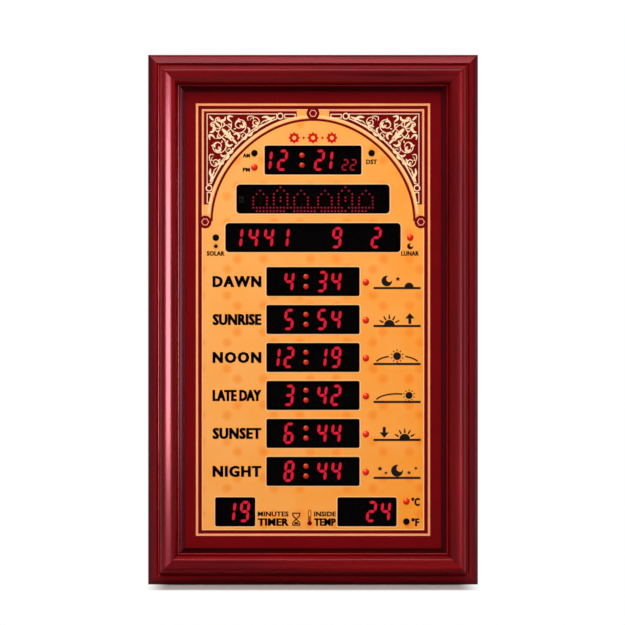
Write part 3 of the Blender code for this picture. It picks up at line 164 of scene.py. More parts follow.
# Digits
DIGIT_WIDTH = 11.8 * MM
DIGIT_HEIGHT = 25.2 * MM
DIGIT_STROKE = 3.5 * MM
SMALL_DIGIT_WIDTH = 7.4 * MM
SMALL_DIGIT_HEIGHT = 14.0 * MM
SMALL_DIGIT_STROKE = 2.0 * MM
TIME_PITCH = 18.1 * MM
ROW_PITCH = 16.4 * MM
SECONDS_PITCH = 9.6 * MM
DIGIT_SLANT = math.radians(6.0)
LIT_RELIEF = 0.15 * MM
LIT_SINK = 0.1 * MM
COLON_RISE = 5.8 * MM
COLON_RADIUS = 3.1 * MM
COLON_HEIGHT = 2.3 * MM
SEGMENTS_OF = {
    "0": "abcdef", "1": "bc", "2": "abdeg", "3": "abcdg", "4": "bcfg", "5": "acdfg",
    "6": "acdefg", "7": "abc", "8": "abcdefg", "9": "abcdfg", "l": "ef",
}

# Dot matrix
DOT_PITCH = 4.0 * MM
DOT_RADIUS = 1.1 * MM
DOT_RELIEF = 0.2 * MM

# Lamps
LAMP_RADIUS = 3.75 * MM
LAMP_GAP = 0.15 * MM
LAMP_PROUD = 2.8 * MM
LAMP_FLANGE_RADIUS = 4.6 * MM
LAMP_FLANGE_HEIGHT = 1.5 * MM
LAMP_SPACER_RADIUS = 3.0 * MM
LAMP_SPACER_HEIGHT = 2.3 * MM
LIT_LAMPS = ("pm_led", "lunar_calendar_led", "celsius_led") + tuple(f"row_led_{row}" for row in range(1, 7))
DARK_LAMPS = ("am_led", "summer_time_led", "solar_calendar_led", "fahrenheit_led")

# Camera and stage
CAMERA_DISTANCE = 3.6
CAMERA_LENS = 175.3
CAMERA_LEFT = 0.6 * MM
CAMERA_RISE = 8.4 * MM
SENSOR_WIDTH = 36.0
SHADOW_HALF_WIDTH = 0.168
SHADOW_HALF_DEPTH = 0.095
SHADOW_FADE = 0.028
FLOOR_WIDTH = 44.0
# Grey floor paper, which the camera sees only near the object: its darkness there is painted shadow on top of
# the real shadow.
FLOOR_COLOUR = (0.4, 0.365, 0.36)
BACKDROP_COLOUR = (0.93, 0.92, 0.925)
BACKDROP_PLACE = (0, 5.0, 2.0)
BACKDROP_HEIGHT = 14
SKY_STRENGTH = 0.4

# Lights, each with its size, power and place; the strips also have their aim on a stile's crest
STILE_CREST_X = 0.169
KEY_LIGHT = ((1.8, 1.8), 21, (-1.0, -2.1, 1.2))
FILL_LIGHT = ((2.2, 2.2), 6, (1.3, -2.2, 0.0))
TOP_LIGHT = ((1.8, 1.0), 40, (0, -1.3, 1.7))
LEFT_STRIP = ((0.28, 0.5), 34.0, (-0.2, -0.9, FACE_Z + 0.05), (-STILE_CREST_X, 0, FACE_Z))
RIGHT_STRIP = ((0.3, 0.7), 4.5, (0.5, -0.8, FACE_Z), (STILE_CREST_X, 0, FACE_Z))
LEFT_STRIP_COLOUR = (1.0, 0.92, 0.96)


class ClockSizes(bpy.types.PropertyGroup):
    """Sizes that a user would change"""

    torus_power: FloatProperty(
        name="Moulding fullness", description="How flat the crest of the moulding is",
        default=TORUS_POWER, min=1.6, max=4.0,
    )
    ink: FloatProperty(
        name="Ink thickness", description="Thickness of the printed layers",
        default=INK, unit="LENGTH",
    )
    scroll_width: FloatProperty(
        name="Scroll width", description="Width of the scrollwork's lines",
        default=1.25 * MM, unit="LENGTH",
    )
    lamp_steps: IntProperty(
        name="Lamp facets", description="Facets round each lamp", default=32, min=12, max=64,
    )


class ClockColours(bpy.types.PropertyGroup):
    """Colours that a user would change"""

    wood: FloatVectorProperty(
        name="Wood", description="Main colour of the lacquered wood", subtype="COLOR", size=4,
        default=(0.165, 0.0012, 0.0028, 1.0),
    )
    wood_dark: FloatVectorProperty(
        name="Wood grain", description="Colour of the darker grain", subtype="COLOR", size=4,
        default=(0.03, 0.0003, 0.0008, 1.0),
    )
    field: FloatVectorProperty(
        name="Field", description="Main colour of the printed field", subtype="COLOR", size=4,
        default=(1.0, 0.325, 0.024, 1.0),
    )
    ground: FloatVectorProperty(
        name="Ground", description="Dark red of the printed border", subtype="COLOR", size=4,
        default=(0.17, 0.0012, 0.003, 1.0),
    )
    lit: FloatVectorProperty(
        name="Lit red", description="Light of the digits", subtype="COLOR", size=4,
        default=(1.0, 0.012, 0.045, 1.0),
    )


def sizes():
    return bpy.context.scene.clock_sizes


def colours():
    return bpy.context.scene.clock_colours


# Modelling helpers


def deselect():
    if bpy.context.object and bpy.context.object.mode != "OBJECT":
        bpy.ops.object.mode_set(mode="OBJECT")
    bpy.ops.object.select_all(action="DESELECT")


def pick(obj):
    """Make one object the only selected and active one."""
    deselect()
    obj.select_set(True)
    bpy.context.view_layer.objects.active = obj
    return obj


def as_mesh(obj):
    """Turn a curve or text into a mesh and put its place into it."""
    pick(obj)
    bpy.ops.object.convert(target="MESH")
    obj = bpy.context.object
    bpy.ops.object.transform_apply(location=True, rotation=True, scale=True)
    bpy.ops.object.mode_set(mode="EDIT")
    bpy.ops.mesh.select_all(action="SELECT")
    bpy.ops.mesh.remove_doubles(threshold=WELD_DISTANCE)
    bpy.ops.mesh.normals_make_consistent(inside=False)
    bpy.ops.object.mode_set(mode="OBJECT")
    return obj


def finish_piece(obj, name, material, body=BODY, angle=35.0):
    """Name, shade and finish a piece, and let it ride on its body."""
    obj.name = name
    obj.data.name = name
    obj.data.materials.clear()
    obj.data.materials.append(material)
    pick(obj)
    bpy.ops.object.shade_smooth_by_angle(angle=math.radians(angle))
    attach(obj, body)
    return obj


def joined(objects):
    """Join several meshes into one."""
    deselect()
    for obj in objects:
        obj.select_set(True)
    bpy.context.view_layer.objects.active = objects[0]
    if len(objects) > 1:
        bpy.ops.object.join()
    return bpy.context.object


def plate(loops, back, front):
    """Flat plate on the face from closed outlines, with any outline inside another as a hole."""
    curve = bpy.data.curves.new("outline", "CURVE")
    curve.dimensions = "2D"
    curve.fill_mode = "BOTH"
    curve.extrude = (front - back) / 2
    for loop in loops:
        spline = curve.splines.new("POLY")
        spline.points.add(len(loop) - 1)
        for point, (x, z) in zip(spline.points, loop):
            point.co = (x, z, 0, 1)
        spline.use_cyclic_u = True
    obj = bpy.data.objects.new("outline", curve)
    bpy.context.scene.collection.objects.link(obj)
    obj.rotation_euler = (math.pi / 2, 0, 0)
    obj.location = (0, -(back + front) / 2, FACE_Z)
    return as_mesh(obj)


def strokes(lines, depth, flatness=LINE_FLATNESS):
    """Flat lines of ink. Each is its points, its half widths, and whether it is closed."""
    curve = bpy.data.curves.new("stroke", "CURVE")
    curve.dimensions = "3D"
    curve.bevel_depth = 1.0
    curve.bevel_resolution = 1
    curve.use_fill_caps = True
    for points, half_widths, closed in lines:
        spline = curve.splines.new("POLY")
        spline.points.add(len(points) - 1)
        for index, (point, (x, z)) in enumerate(zip(spline.points, points)):
            point.co = (x, 0, z, 1)
            point.radius = half_widths[index]
        spline.use_cyclic_u = closed
    obj = bpy.data.objects.new("stroke", curve)
    bpy.context.scene.collection.objects.link(obj)
    obj.scale = (1, flatness, 1)
    obj.location = (0, -depth, FACE_Z)
    return as_mesh(obj)


def arc(x, z, radius, start, end, steps):
    """Points on an arc, with angles in degrees."""
    points = []
    for step in range(steps + 1):
        angle = math.radians(start + (end - start) * step / steps)
        points.append((x + radius * math.cos(angle), z + radius * math.sin(angle)))
    return points


def disc(x, z, radius, steps=32):
    return arc(x, z, radius, 0, 360, steps)[:-1]


def rectangle(x, z, width, height):
    return [
        (x - width / 2, z - height / 2), (x + width / 2, z - height / 2),
        (x + width / 2, z + height / 2), (x - width / 2, z + height / 2),
    ]


def rounded(x, z, width, height, corner, steps=6):
    """Rectangle outline with round corners."""
    half_x = width / 2 - corner
    half_z = height / 2 - corner
    points = []
    for sign_x, sign_z, start in ((1, 1, 0), (-1, 1, 90), (-1, -1, 180), (1, -1, 270)):
        points += arc(x + sign_x * half_x, z + sign_z * half_z, corner, start, start + 90, steps)
    return points


def even(points, half_width, closed=False):
    """A line of one width throughout."""
    return points, [half_width] * len(points), closed


def lathe(profile, steps, x, depth, z):
    """Round piece spun about an axis that runs out from the wall.

    The profile is its radius and its depth, from the axis at the back to the axis in front.
    """
    deselect()
    bpy.ops.mesh.primitive_plane_add(size=1)
    obj = bpy.context.object
    bpy.ops.object.mode_set(mode="EDIT")
    bpy.ops.mesh.select_all(action="SELECT")
    bpy.ops.mesh.delete(type="VERT")
    bpy.ops.object.mode_set(mode="OBJECT")
    points = [(x + radius, -depth - out, FACE_Z + z) for radius, out in profile]
    obj.data.from_pydata(points, [(index, index + 1) for index in range(len(points) - 1)], [])
    bpy.ops.object.mode_set(mode="EDIT")
    bpy.ops.mesh.select_all(action="SELECT")
    bpy.ops.mesh.spin(
        steps=steps, angle=2 * math.pi, center=(x, -depth, FACE_Z + z), axis=(0, 1, 0)
    )
    bpy.ops.mesh.select_all(action="SELECT")
    bpy.ops.mesh.remove_doubles(threshold=2 * WELD_DISTANCE)
    bpy.ops.mesh.normals_make_consistent(inside=False)
    bpy.ops.object.mode_set(mode="OBJECT")
    return obj


def node_centre(node):
    """A CAD node's centre, as x and z on the face."""
    low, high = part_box(node)
    return (low.x + high.x) / 2, (low.z + high.z) / 2 - FACE_Z


def node_size(node):
    low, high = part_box(node)
    return high.x - low.x, high.z - low.z


# Material helpers


def material_shell(name):
    """A material with a Principled shader, its node tree and the shader."""
    material = bpy.data.materials.new(name)
    material.use_nodes = True
    tree = material.node_tree
    return material, tree, tree.nodes["Principled BSDF"]


def add_node(tree, kind, **values):
    node = tree.nodes.new(kind)
    for key, value in values.items():
        setattr(node, key, value)
    return node


def group_socket(group, name, direction, kind="NodeSocketFloat", value=None):
    socket = group.interface.new_socket(name=name, in_out=direction, socket_type=kind)
    if value is not None:
        socket.default_value = value
    return socket


def new_group(name, inputs, outputs):
    """Empty shader group with its inputs and outputs, each a name, a kind and a value."""
    group = bpy.data.node_groups.new(name, "ShaderNodeTree")
    for label, kind, value in inputs:
        group_socket(group, label, "INPUT", kind, value)
    for label, kind in outputs:
        group_socket(group, label, "OUTPUT", kind)
    entry = group.nodes.new("NodeGroupInput")
    leave = group.nodes.new("NodeGroupOutput")
    return group, entry, leave


def math_node(tree, operation, first, second=None, third=None):
    """A math node on sockets or plain numbers, and its output."""
    node = add_node(tree, "ShaderNodeMath", operation=operation)
    for socket, value in zip(node.inputs, (first, second, third)):
        if value is None:
            continue
        if isinstance(value, (int, float)):
            socket.default_value = value
        else:
            tree.links.new(value, socket)
    return node.outputs[0]


def noise_node(tree, vector, scale, detail, roughness):
    node = add_node(tree, "ShaderNodeTexNoise")
    node.inputs["Scale"].default_value = scale
    node.inputs["Detail"].default_value = detail
    node.inputs["Roughness"].default_value = roughness
    tree.links.new(vector, node.inputs["Vector"])
    return node.outputs["Fac"]


def stretched(tree, vector, scale, location=(0, 0, 0), rotation=(0, 0, 0)):
    """Object coordinates scaled by a Mapping node."""
    node = add_node(tree, "ShaderNodeMapping")
    node.inputs["Scale"].default_value = scale
    node.inputs["Location"].default_value = location
    node.inputs["Rotation"].default_value = rotation
    tree.links.new(vector, node.inputs["Vector"])
    return node.outputs["Vector"]


def object_vector(tree):
    return add_node(tree, "ShaderNodeTexCoord").outputs["Object"]


def ramp(tree, factor, stops):
    """Colour ramp with its stops, each a place and a colour."""
    node = add_node(tree, "ShaderNodeValToRGB")
    elements = node.color_ramp.elements
    while len(elements) < len(stops):
        elements.new(0.5)
    for element, (place, colour) in zip(elements, stops):
        element.position = place
        element.color = colour
    tree.links.new(factor, node.inputs["Fac"])
    return node.outputs["Color"]


def mix_colour(tree, factor, first, second, blend="MIX"):
    """Mix two colours, each a socket or a plain colour."""
    node = add_node(tree, "ShaderNodeMix", data_type="RGBA", blend_type=blend)
    for index, value in ((0, factor), (6, first), (7, second)):
        if isinstance(value, (int, float, tuple)):
            node.inputs[index].default_value = value
        else:
            tree.links.new(value, node.inputs[index])
    return node.outputs[2]


def mask_between(tree, value, start, end):
    """Smooth mask that goes from none at the start to full at the end, which may be lower."""
    node = add_node(tree, "ShaderNodeMapRange", interpolation_type="SMOOTHSTEP")
    node.inputs["From Min"].default_value = start
    node.inputs["From Max"].default_value = end
    tree.links.new(value, node.inputs["Value"])
    return node.outputs[0]


def bump_node(tree, height, strength, distance):
    node = add_node(tree, "ShaderNodeBump")
    node.inputs["Strength"].default_value = strength
    node.inputs["Distance"].default_value = distance
    tree.links.new(height, node.inputs["Height"])
    return node.outputs["Normal"]


def shade(colour, factor):
    """A colour made darker or lighter, with full alpha."""
    return tuple(min(1.0, channel * factor) for channel in colour[:3]) + (1.0,)


def grain_group():
    """Wood grain along the vector's first axis: broad figure, fine fibres and pores."""
    group, entry, leave = new_group(
        "wood_grain",
        [("Vector", "NodeSocketVector", None), ("Figure", "NodeSocketFloat", 1.0)],
        [("Grain", "NodeSocketFloat"), ("Pores", "NodeSocketFloat")],
    )
    vector = entry.outputs["Vector"]
    broad = noise_node(group, stretched(group, vector, (5, 70, 70)), 1.0, 4.0, 0.6)
    swirl = add_node(group, "ShaderNodeTexWave", wave_type="BANDS", bands_direction="Y")
    swirl.inputs["Scale"].default_value = 1.0
    swirl.inputs["Distortion"].default_value = 7.0
    swirl.inputs["Detail"].default_value = 3.0
    swirl.inputs["Detail Scale"].default_value = 0.7
    group.links.new(stretched(group, vector, (2.2, 34, 34)), swirl.inputs["Vector"])
    fibres = noise_node(group, stretched(group, vector, (28, 950, 950)), 1.0, 2.0, 0.7)
    streaks = noise_node(group, stretched(group, vector, (3, 210, 210)), 1.0, 2.0, 0.5)
    figure = math_node(group, "MULTIPLY", swirl.outputs["Fac"], entry.outputs["Figure"])
    total = math_node(group, "MULTIPLY_ADD", figure, 0.22, math_node(group, "MULTIPLY", broad, 0.5))
    total = math_node(group, "MULTIPLY_ADD", streaks, 0.32, total)
    total = math_node(group, "MULTIPLY_ADD", fibres, 0.16, total)
    group.links.new(total, leave.inputs["Grain"])
    pores = math_node(group, "SUBTRACT", fibres, 0.56)
    pores = math_node(group, "MULTIPLY", math_node(group, "MAXIMUM", pores, 0.0), 4.0)
    group.links.new(pores, leave.inputs["Pores"])
    return group


def cloud_group():
    """Soft mottling in two sizes, as a mask about one half."""
    group, entry, leave = new_group(
        "soft_clouds",
        [
            ("Vector", "NodeSocketVector", None),
            ("Size", "NodeSocketFloat", 30.0),
            ("Strength", "NodeSocketFloat", 1.0),
        ],
        [("Mask", "NodeSocketFloat"), ("Speckle", "NodeSocketFloat")],
    )
    scaled = add_node(group, "ShaderNodeVectorMath", operation="SCALE")
    group.links.new(entry.outputs["Vector"], scaled.inputs[0])
    group.links.new(entry.outputs["Size"], scaled.inputs["Scale"])
    soft = noise_node(group, scaled.outputs[0], 1.0, 3.0, 0.5)
    fine = noise_node(group, scaled.outputs[0], 24.0, 2.0, 0.6)
    centred = math_node(group, "SUBTRACT", soft, 0.5)
    mask = math_node(group, "MULTIPLY_ADD", centred, entry.outputs["Strength"], 0.5)
    group.links.new(mask, leave.inputs["Mask"])
    group.links.new(fine, leave.inputs["Speckle"])
    return group


def lattice_group():
    """Rows of soft blobs in pairs on a diagonal lattice, as a mask."""
    group, entry, leave = new_group(
        "blob_lattice",
        [
            ("Vector", "NodeSocketVector", None),
            ("Pitch", "NodeSocketFloat", LATTICE_PITCH),
            ("Blob", "NodeSocketFloat", LATTICE_BLOB),
        ],
        [("Mask", "NodeSocketFloat")],
    )
    parts = add_node(group, "ShaderNodeSeparateXYZ")
    group.links.new(entry.outputs["Vector"], parts.inputs[0])
    pitch = entry.outputs["Pitch"]
    half = math_node(group, "MULTIPLY", pitch, 0.5)
    share = math_node(group, "MULTIPLY", pitch, LATTICE_SHARE)
    folded = []
    for axis in ("X", "Z"):
        shifted = math_node(group, "ADD", parts.outputs[axis], half)
        wrapped = math_node(group, "FLOORED_MODULO", shifted, pitch)
        folded.append(math_node(group, "ABSOLUTE", math_node(group, "SUBTRACT", wrapped, half)))
    masks = []
    for along, across in ((folded[0], folded[1]), (folded[1], folded[0])):
        near = math_node(group, "POWER", math_node(group, "SUBTRACT", along, share), 2.0)
        total = math_node(group, "MULTIPLY_ADD", across, across, near)
        distance = math_node(group, "SQRT", total)
        ratio = math_node(group, "DIVIDE", distance, entry.outputs["Blob"])
        masks.append(math_node(group, "SUBTRACT", 1.0, ratio))
    best = math_node(group, "MAXIMUM", masks[0], masks[1])
    best = math_node(group, "MAXIMUM", best, 0.0)
    smooth = add_node(group, "ShaderNodeMapRange", interpolation_type="SMOOTHSTEP")
    smooth.inputs["From Max"].default_value = 0.75
    group.links.new(best, smooth.inputs["Value"])
    group.links.new(smooth.outputs[0], leave.inputs["Mask"])
    return group


GROUPS = {}


def placed_group(tree, name, build, vector, **values):
    """A shared group in a material, made the first time it is asked for."""
    if name not in GROUPS:
        GROUPS[name] = build()
    node = add_node(tree, "ShaderNodeGroup", node_tree=GROUPS[name])
    tree.links.new(vector, node.inputs["Vector"])
    for label, value in values.items():
        node.inputs[label].default_value = value
    return node.outputs


MATERIALS = {}


def wood(axis, turn):
    """Red lacquered wood: grain along a rail or a stile, with painted shade in the inner groove and towards
    the outer edge.
    """
    name = f"lacquered_wood_{axis}"
    if name in MATERIALS:
        return MATERIALS[name]
    material, tree, shader = material_shell(name)
    place = object_vector(tree)
    grain = placed_group(tree, "wood_grain", grain_group, stretched(tree, place, (1, 1, 1), rotation=turn))
    light = colours().wood
    dark = colours().wood_dark
    colour = ramp(tree, grain["Grain"], (
        (0.3, tuple(dark)), (0.44, shade(light, 0.66)), (0.56, tuple(light)), (0.72, shade(light, 1.5)),
    ))
    colour = mix_colour(tree, math_node(tree, "MULTIPLY", grain["Pores"], 0.8), colour, shade(dark, 0.6))

    parts = add_node(tree, "ShaderNodeSeparateXYZ")
    tree.links.new(place, parts.inputs[0])
    if axis == "stile":
        reach = math_node(tree, "SUBTRACT", FRAME_HALF_WIDTH, math_node(tree, "ABSOLUTE", parts.outputs["X"]))
    else:
        rise = math_node(tree, "SUBTRACT", parts.outputs["Z"], FACE_Z)
        reach = math_node(tree, "SUBTRACT", FRAME_HALF_HEIGHT, math_node(tree, "ABSOLUTE", rise))
    # Painted shade: darken and dull the wood that lies low in the groove by the sight edge.
    inside = mask_between(tree, reach, GROOVE_SHADE_START, GROOVE_SHADE_START + GROOVE_SHADE_FADE)
    low = mask_between(tree, math_node(tree, "MULTIPLY", parts.outputs["Y"], -1.0), GROOVE_SHADE_TOP, GROOVE_SHADE_BOTTOM)
    groove_shade = math_node(tree, "MULTIPLY", math_node(tree, "MULTIPLY", inside, low), GROOVE_SHADE_STRENGTH)
    colour = mix_colour(tree, groove_shade, colour, shade(dark, 0.3))
    # Painted shade towards the outer edge, stronger on the stiles than on the rails.
    strength = STILE_EDGE_SHADE if axis == "stile" else RAIL_EDGE_SHADE
    edge = math_node(tree, "MULTIPLY", mask_between(tree, reach, EDGE_SHADE_WIDTH, 0.0), strength)
    colour = mix_colour(tree, edge, colour, shade(dark, 0.5))
    tree.links.new(colour, shader.inputs["Base Color"])
    rough = math_node(tree, "MULTIPLY_ADD", grain["Grain"], 0.12, 0.25)
    tree.links.new(math_node(tree, "MULTIPLY_ADD", groove_shade, 0.4, rough), shader.inputs["Roughness"])
    gloss = math_node(tree, "MULTIPLY_ADD", groove_shade, -WOOD_COAT, WOOD_COAT)
    tree.links.new(gloss, shader.inputs["Coat Weight"])
    shader.inputs["Specular IOR Level"].default_value = WOOD_SPECULAR
    shader.inputs["Specular Tint"].default_value = WOOD_TINT
    shader.inputs["Coat Roughness"].default_value = WOOD_COAT_ROUGHNESS
    tree.links.new(bump_node(tree, grain["Grain"], 0.2, BUMP_DISTANCE), shader.inputs["Normal"])
    MATERIALS[name] = material
    return material


def print_ink(name, colour, variation, roughness):
    """Screen-printed ink with soft unevenness."""
    if name in MATERIALS:
        return MATERIALS[name]
    material, tree, shader = material_shell(name)
    clouds = placed_group(tree, "soft_clouds", cloud_group, object_vector(tree), Size=42.0, Strength=0.9)
    mixed = mix_colour(tree, clouds["Mask"], shade(colour, 1 - variation), shade(colour, 1 + variation))
    tree.links.new(mixed, shader.inputs["Base Color"])
    rough = math_node(tree, "MULTIPLY_ADD", clouds["Speckle"], 0.1, roughness - 0.05)
    tree.links.new(rough, shader.inputs["Roughness"])
    shader.inputs["Specular IOR Level"].default_value = 0.05
    MATERIALS[name] = material
    return material


INKS = {
    "peach_ink": ((1.0, 0.56, 0.24, 1.0), 0.05, 0.42),
    "gold_ink": ((1.0, 0.4, 0.16, 1.0), 0.08, 0.34),
    "pink_ink": ((0.93, 0.36, 0.22, 1.0), 0.06, 0.42),
    "cream_ink": ((1.0, 0.7, 0.42, 1.0), 0.06, 0.42),
    "black_ink": ((0.012, 0.008, 0.008, 1.0), 0.2, 0.42),
    "bright_red_ink": ((0.62, 0.01, 0.012, 1.0), 0.08, 0.42),
    "white_ink": ((0.72, 0.72, 0.7, 1.0), 0.06, 0.42),
}


def ink_of(name):
    """One of the clock's inks; the dark red one takes the colour that a user can change."""
    if name == "dark_red_ink":
        return print_ink(name, tuple(colours().ground), 0.14, 0.36)
    return print_ink(name, *INKS[name])


def field_print():
    """Orange field: a painted wash of light that fades from the upper left across the face, soft mottling and
    the lattice of deeper blobs.
    """
    material, tree, shader = material_shell("field_print")
    vector = object_vector(tree)
    base = colours().field
    parts = add_node(tree, "ShaderNodeSeparateXYZ")
    tree.links.new(vector, parts.inputs[0])
    # Painted light: the field is paler towards the upper left, where a soft light falls on it, and deeper
    # towards the lower right.
    across = math_node(tree, "MULTIPLY_ADD", parts.outputs["X"], 1.9, 0.5)
    down = math_node(tree, "MULTIPLY_ADD", parts.outputs["Z"], -0.75, -0.23)
    fade = math_node(tree, "MULTIPLY_ADD", down, 0.5, math_node(tree, "MULTIPLY", across, 0.72))
    clouds = placed_group(tree, "soft_clouds", cloud_group, vector, Size=26.0, Strength=0.55)
    fade = math_node(tree, "ADD", fade, math_node(tree, "SUBTRACT", clouds["Mask"], 0.5))
    colour = ramp(tree, fade, (
        (0.0, (1.0, 0.45, 0.125, 1.0)), (0.35, (1.0, 0.395, 0.08, 1.0)),
        (0.7, tuple(base)), (1.0, (0.98, 0.27, 0.01, 1.0)),
    ))
    crossing = Matrix.Rotation(LATTICE_TURN, 3, "Y") @ Vector((LATTICE_X, 0, FACE_Z + LATTICE_Z))
    turned = stretched(tree, vector, (1, 1, 1), location=-crossing, rotation=(0, LATTICE_TURN, 0))
    blobs = placed_group(tree, "blob_lattice", lattice_group, turned)
    deep = mix_colour(tree, 1.0, colour, (0.99, 0.76, 0.45, 1.0), blend="MULTIPLY")
    strength = math_node(tree, "MULTIPLY", blobs["Mask"], 0.85)
    tree.links.new(mix_colour(tree, strength, colour, deep), shader.inputs["Base Color"])
    rough = math_node(tree, "MULTIPLY_ADD", clouds["Speckle"], 0.12, 0.4)
    tree.links.new(rough, shader.inputs["Roughness"])
    shader.inputs["Specular IOR Level"].default_value = 0.08
    return material


FINISH_VARIATION = 0.15


def plain_finish(name, colour, roughness, size, metallic=0.0, bump=0.0, specular=0.5):
    """Moulded, painted or plated surface with fine unevenness."""
    if name in MATERIALS:
        return MATERIALS[name]
    material, tree, shader = material_shell(name)
    clouds = placed_group(tree, "soft_clouds", cloud_group, object_vector(tree), Size=size, Strength=1.0)
    deeper = shade(colour, 1 - FINISH_VARIATION)
    mixed = mix_colour(tree, clouds["Mask"], deeper, shade(colour, 1 + FINISH_VARIATION))
    tree.links.new(mixed, shader.inputs["Base Color"])
    rough = math_node(tree, "MULTIPLY_ADD", clouds["Speckle"], 0.16, roughness - 0.08)
    tree.links.new(rough, shader.inputs["Roughness"])
    shader.inputs["Metallic"].default_value = metallic
    shader.inputs["Specular IOR Level"].default_value = specular
    if bump:
        tree.links.new(bump_node(tree, clouds["Speckle"], bump, BUMP_DISTANCE), shader.inputs["Normal"])
    MATERIALS[name] = material
    return material


def smoked_pane():
    """Smoked acrylic that shows the lit digits and hides the rest."""
    material, tree, shader = material_shell("smoked_pane")
    clouds = placed_group(tree, "soft_clouds", cloud_group, object_vector(tree), Size=9.0, Strength=1.0)
    mixed = mix_colour(tree, clouds["Mask"], (0.0012, 0.0008, 0.0009, 1.0), (0.002, 0.0012, 0.0014, 1.0))
    tree.links.new(mixed, shader.inputs["Base Color"])
    shader.inputs["Roughness"].default_value = 0.12
    shader.inputs["Specular IOR Level"].default_value = 0.02
    shader.inputs["Alpha"].default_value = 0.35
    return material


GLOW_EDGE = 0.75


def glow(name, colour, strength):
    """Lit plastic: its own light, a little uneven, over a red body."""
    if name in MATERIALS:
        return MATERIALS[name]
    material, tree, shader = material_shell(name)
    clouds = placed_group(tree, "soft_clouds", cloud_group, object_vector(tree), Size=220.0, Strength=1.0)
    mixed = mix_colour(tree, clouds["Mask"], shade(colour, GLOW_EDGE), colour)
    tree.links.new(mixed, shader.inputs["Emission Color"])
    plastic = mix_colour(tree, clouds["Mask"], shade(colour, 0.2), shade(colour, 0.3))
    tree.links.new(plastic, shader.inputs["Base Color"])
    shader.inputs["Emission Strength"].default_value = strength
    shader.inputs["Roughness"].default_value = 0.4
    MATERIALS[name] = material
    return material


def dome_glow(name, core, painted_highlight, strength):
    """Lit dome with a painted highlight on its upper left and painted shade on its lower right."""
    if name in MATERIALS:
        return MATERIALS[name]
    material, tree, shader = material_shell(name)
    normal = add_node(tree, "ShaderNodeTexCoord").outputs["Normal"]
    facing = add_node(tree, "ShaderNodeVectorMath", operation="DOT_PRODUCT")
    tree.links.new(normal, facing.inputs[0])
    facing.inputs[1].default_value = Vector((-0.35, -0.72, 0.6)).normalized()
    # Painted highlight and painted shade: the emission is paler where the dome faces up, left and out, and
    # darker on the far side.
    colour = ramp(tree, facing.outputs["Value"], (
        (0.25, shade(core, 0.45)), (0.7, core), (0.9, core), (1.0, painted_highlight),
    ))
    tree.links.new(colour, shader.inputs["Emission Color"])
    tree.links.new(mix_colour(tree, 0.7, colour, (0.0, 0.0, 0.0, 1.0)), shader.inputs["Base Color"])
    shader.inputs["Emission Strength"].default_value = strength
    shader.inputs["Roughness"].default_value = 0.25
    shader.inputs["Specular IOR Level"].default_value = 0.12
    MATERIALS[name] = material
    return material


# Frame


def moulding_outline():
    """The moulding's section: distance in from the outer edge, and depth from the wall."""
    band_end = EDGE_RADIUS + BAND_WIDTH
    band_top = EDGE_DEPTH + BAND_RISE
    torus_start = band_end + COVE_WIDTH
    torus_base = band_top - COVE_DROP
    torus_end = torus_start + TORUS_WIDTH
    bead_z = torus_base - BEAD_DROP
    bead_x = torus_end + BEAD_RADIUS
    groove = bead_z + BEAD_RADIUS - GROOVE_DROP
    groove_start = bead_x + BEAD_RADIUS
    lip_x = MOULDING_WIDTH - LIP_RADIUS
    points = [(0, 0)]
    points += arc(EDGE_RADIUS, EDGE_DEPTH - EDGE_RADIUS, EDGE_RADIUS, 180, 90, 10)
    for share in (0.25, 0.5, 0.75):
        points.append((EDGE_RADIUS + BAND_WIDTH * share, EDGE_DEPTH + BAND_RISE * share ** 0.8))
    points += arc(band_end - COVE_DROP * 0.4, band_top - COVE_DROP * 0.4, COVE_DROP * 0.4, 75, 0, 4)
    cove_x = torus_start - COVE_WIDTH * 0.5
    cove_depth = torus_base + COVE_DROP * 0.3
    points += arc(cove_x, cove_depth, COVE_WIDTH * 0.45, 200, 300, 5)
    half = TORUS_WIDTH / 2
    power = sizes().torus_power
    for step in range(TORUS_STEPS + 1):
        turn = math.pi * (1 - step / TORUS_STEPS)
        side = math.cos(turn)
        rise = max(0.0, math.sin(turn)) ** (2 / power)
        across = math.copysign(abs(side) ** (2 / power), side)
        points.append((torus_start + half + half * across, torus_base + TORUS_HEIGHT * rise))
    points.append((torus_end, bead_z))
    points += arc(bead_x, bead_z, BEAD_RADIUS, 150, 0, 10)
    points.append((groove_start, groove))
    points.append((groove_start + GROOVE_WIDTH, groove))
    points += arc(lip_x, groove, LIP_RADIUS, 150, 0, 8)
    points.append((MOULDING_WIDTH, REBATE_DEPTH))
    points.append((MOULDING_WIDTH - REBATE_WIDTH, REBATE_DEPTH))
    points.append((MOULDING_WIDTH - REBATE_WIDTH, LEDGE_DEPTH))
    points.append((MOULDING_WIDTH - REBATE_WIDTH - LEDGE_WIDTH, LEDGE_DEPTH))
    points.append((MOULDING_WIDTH - REBATE_WIDTH - LEDGE_WIDTH, 0))
    return points


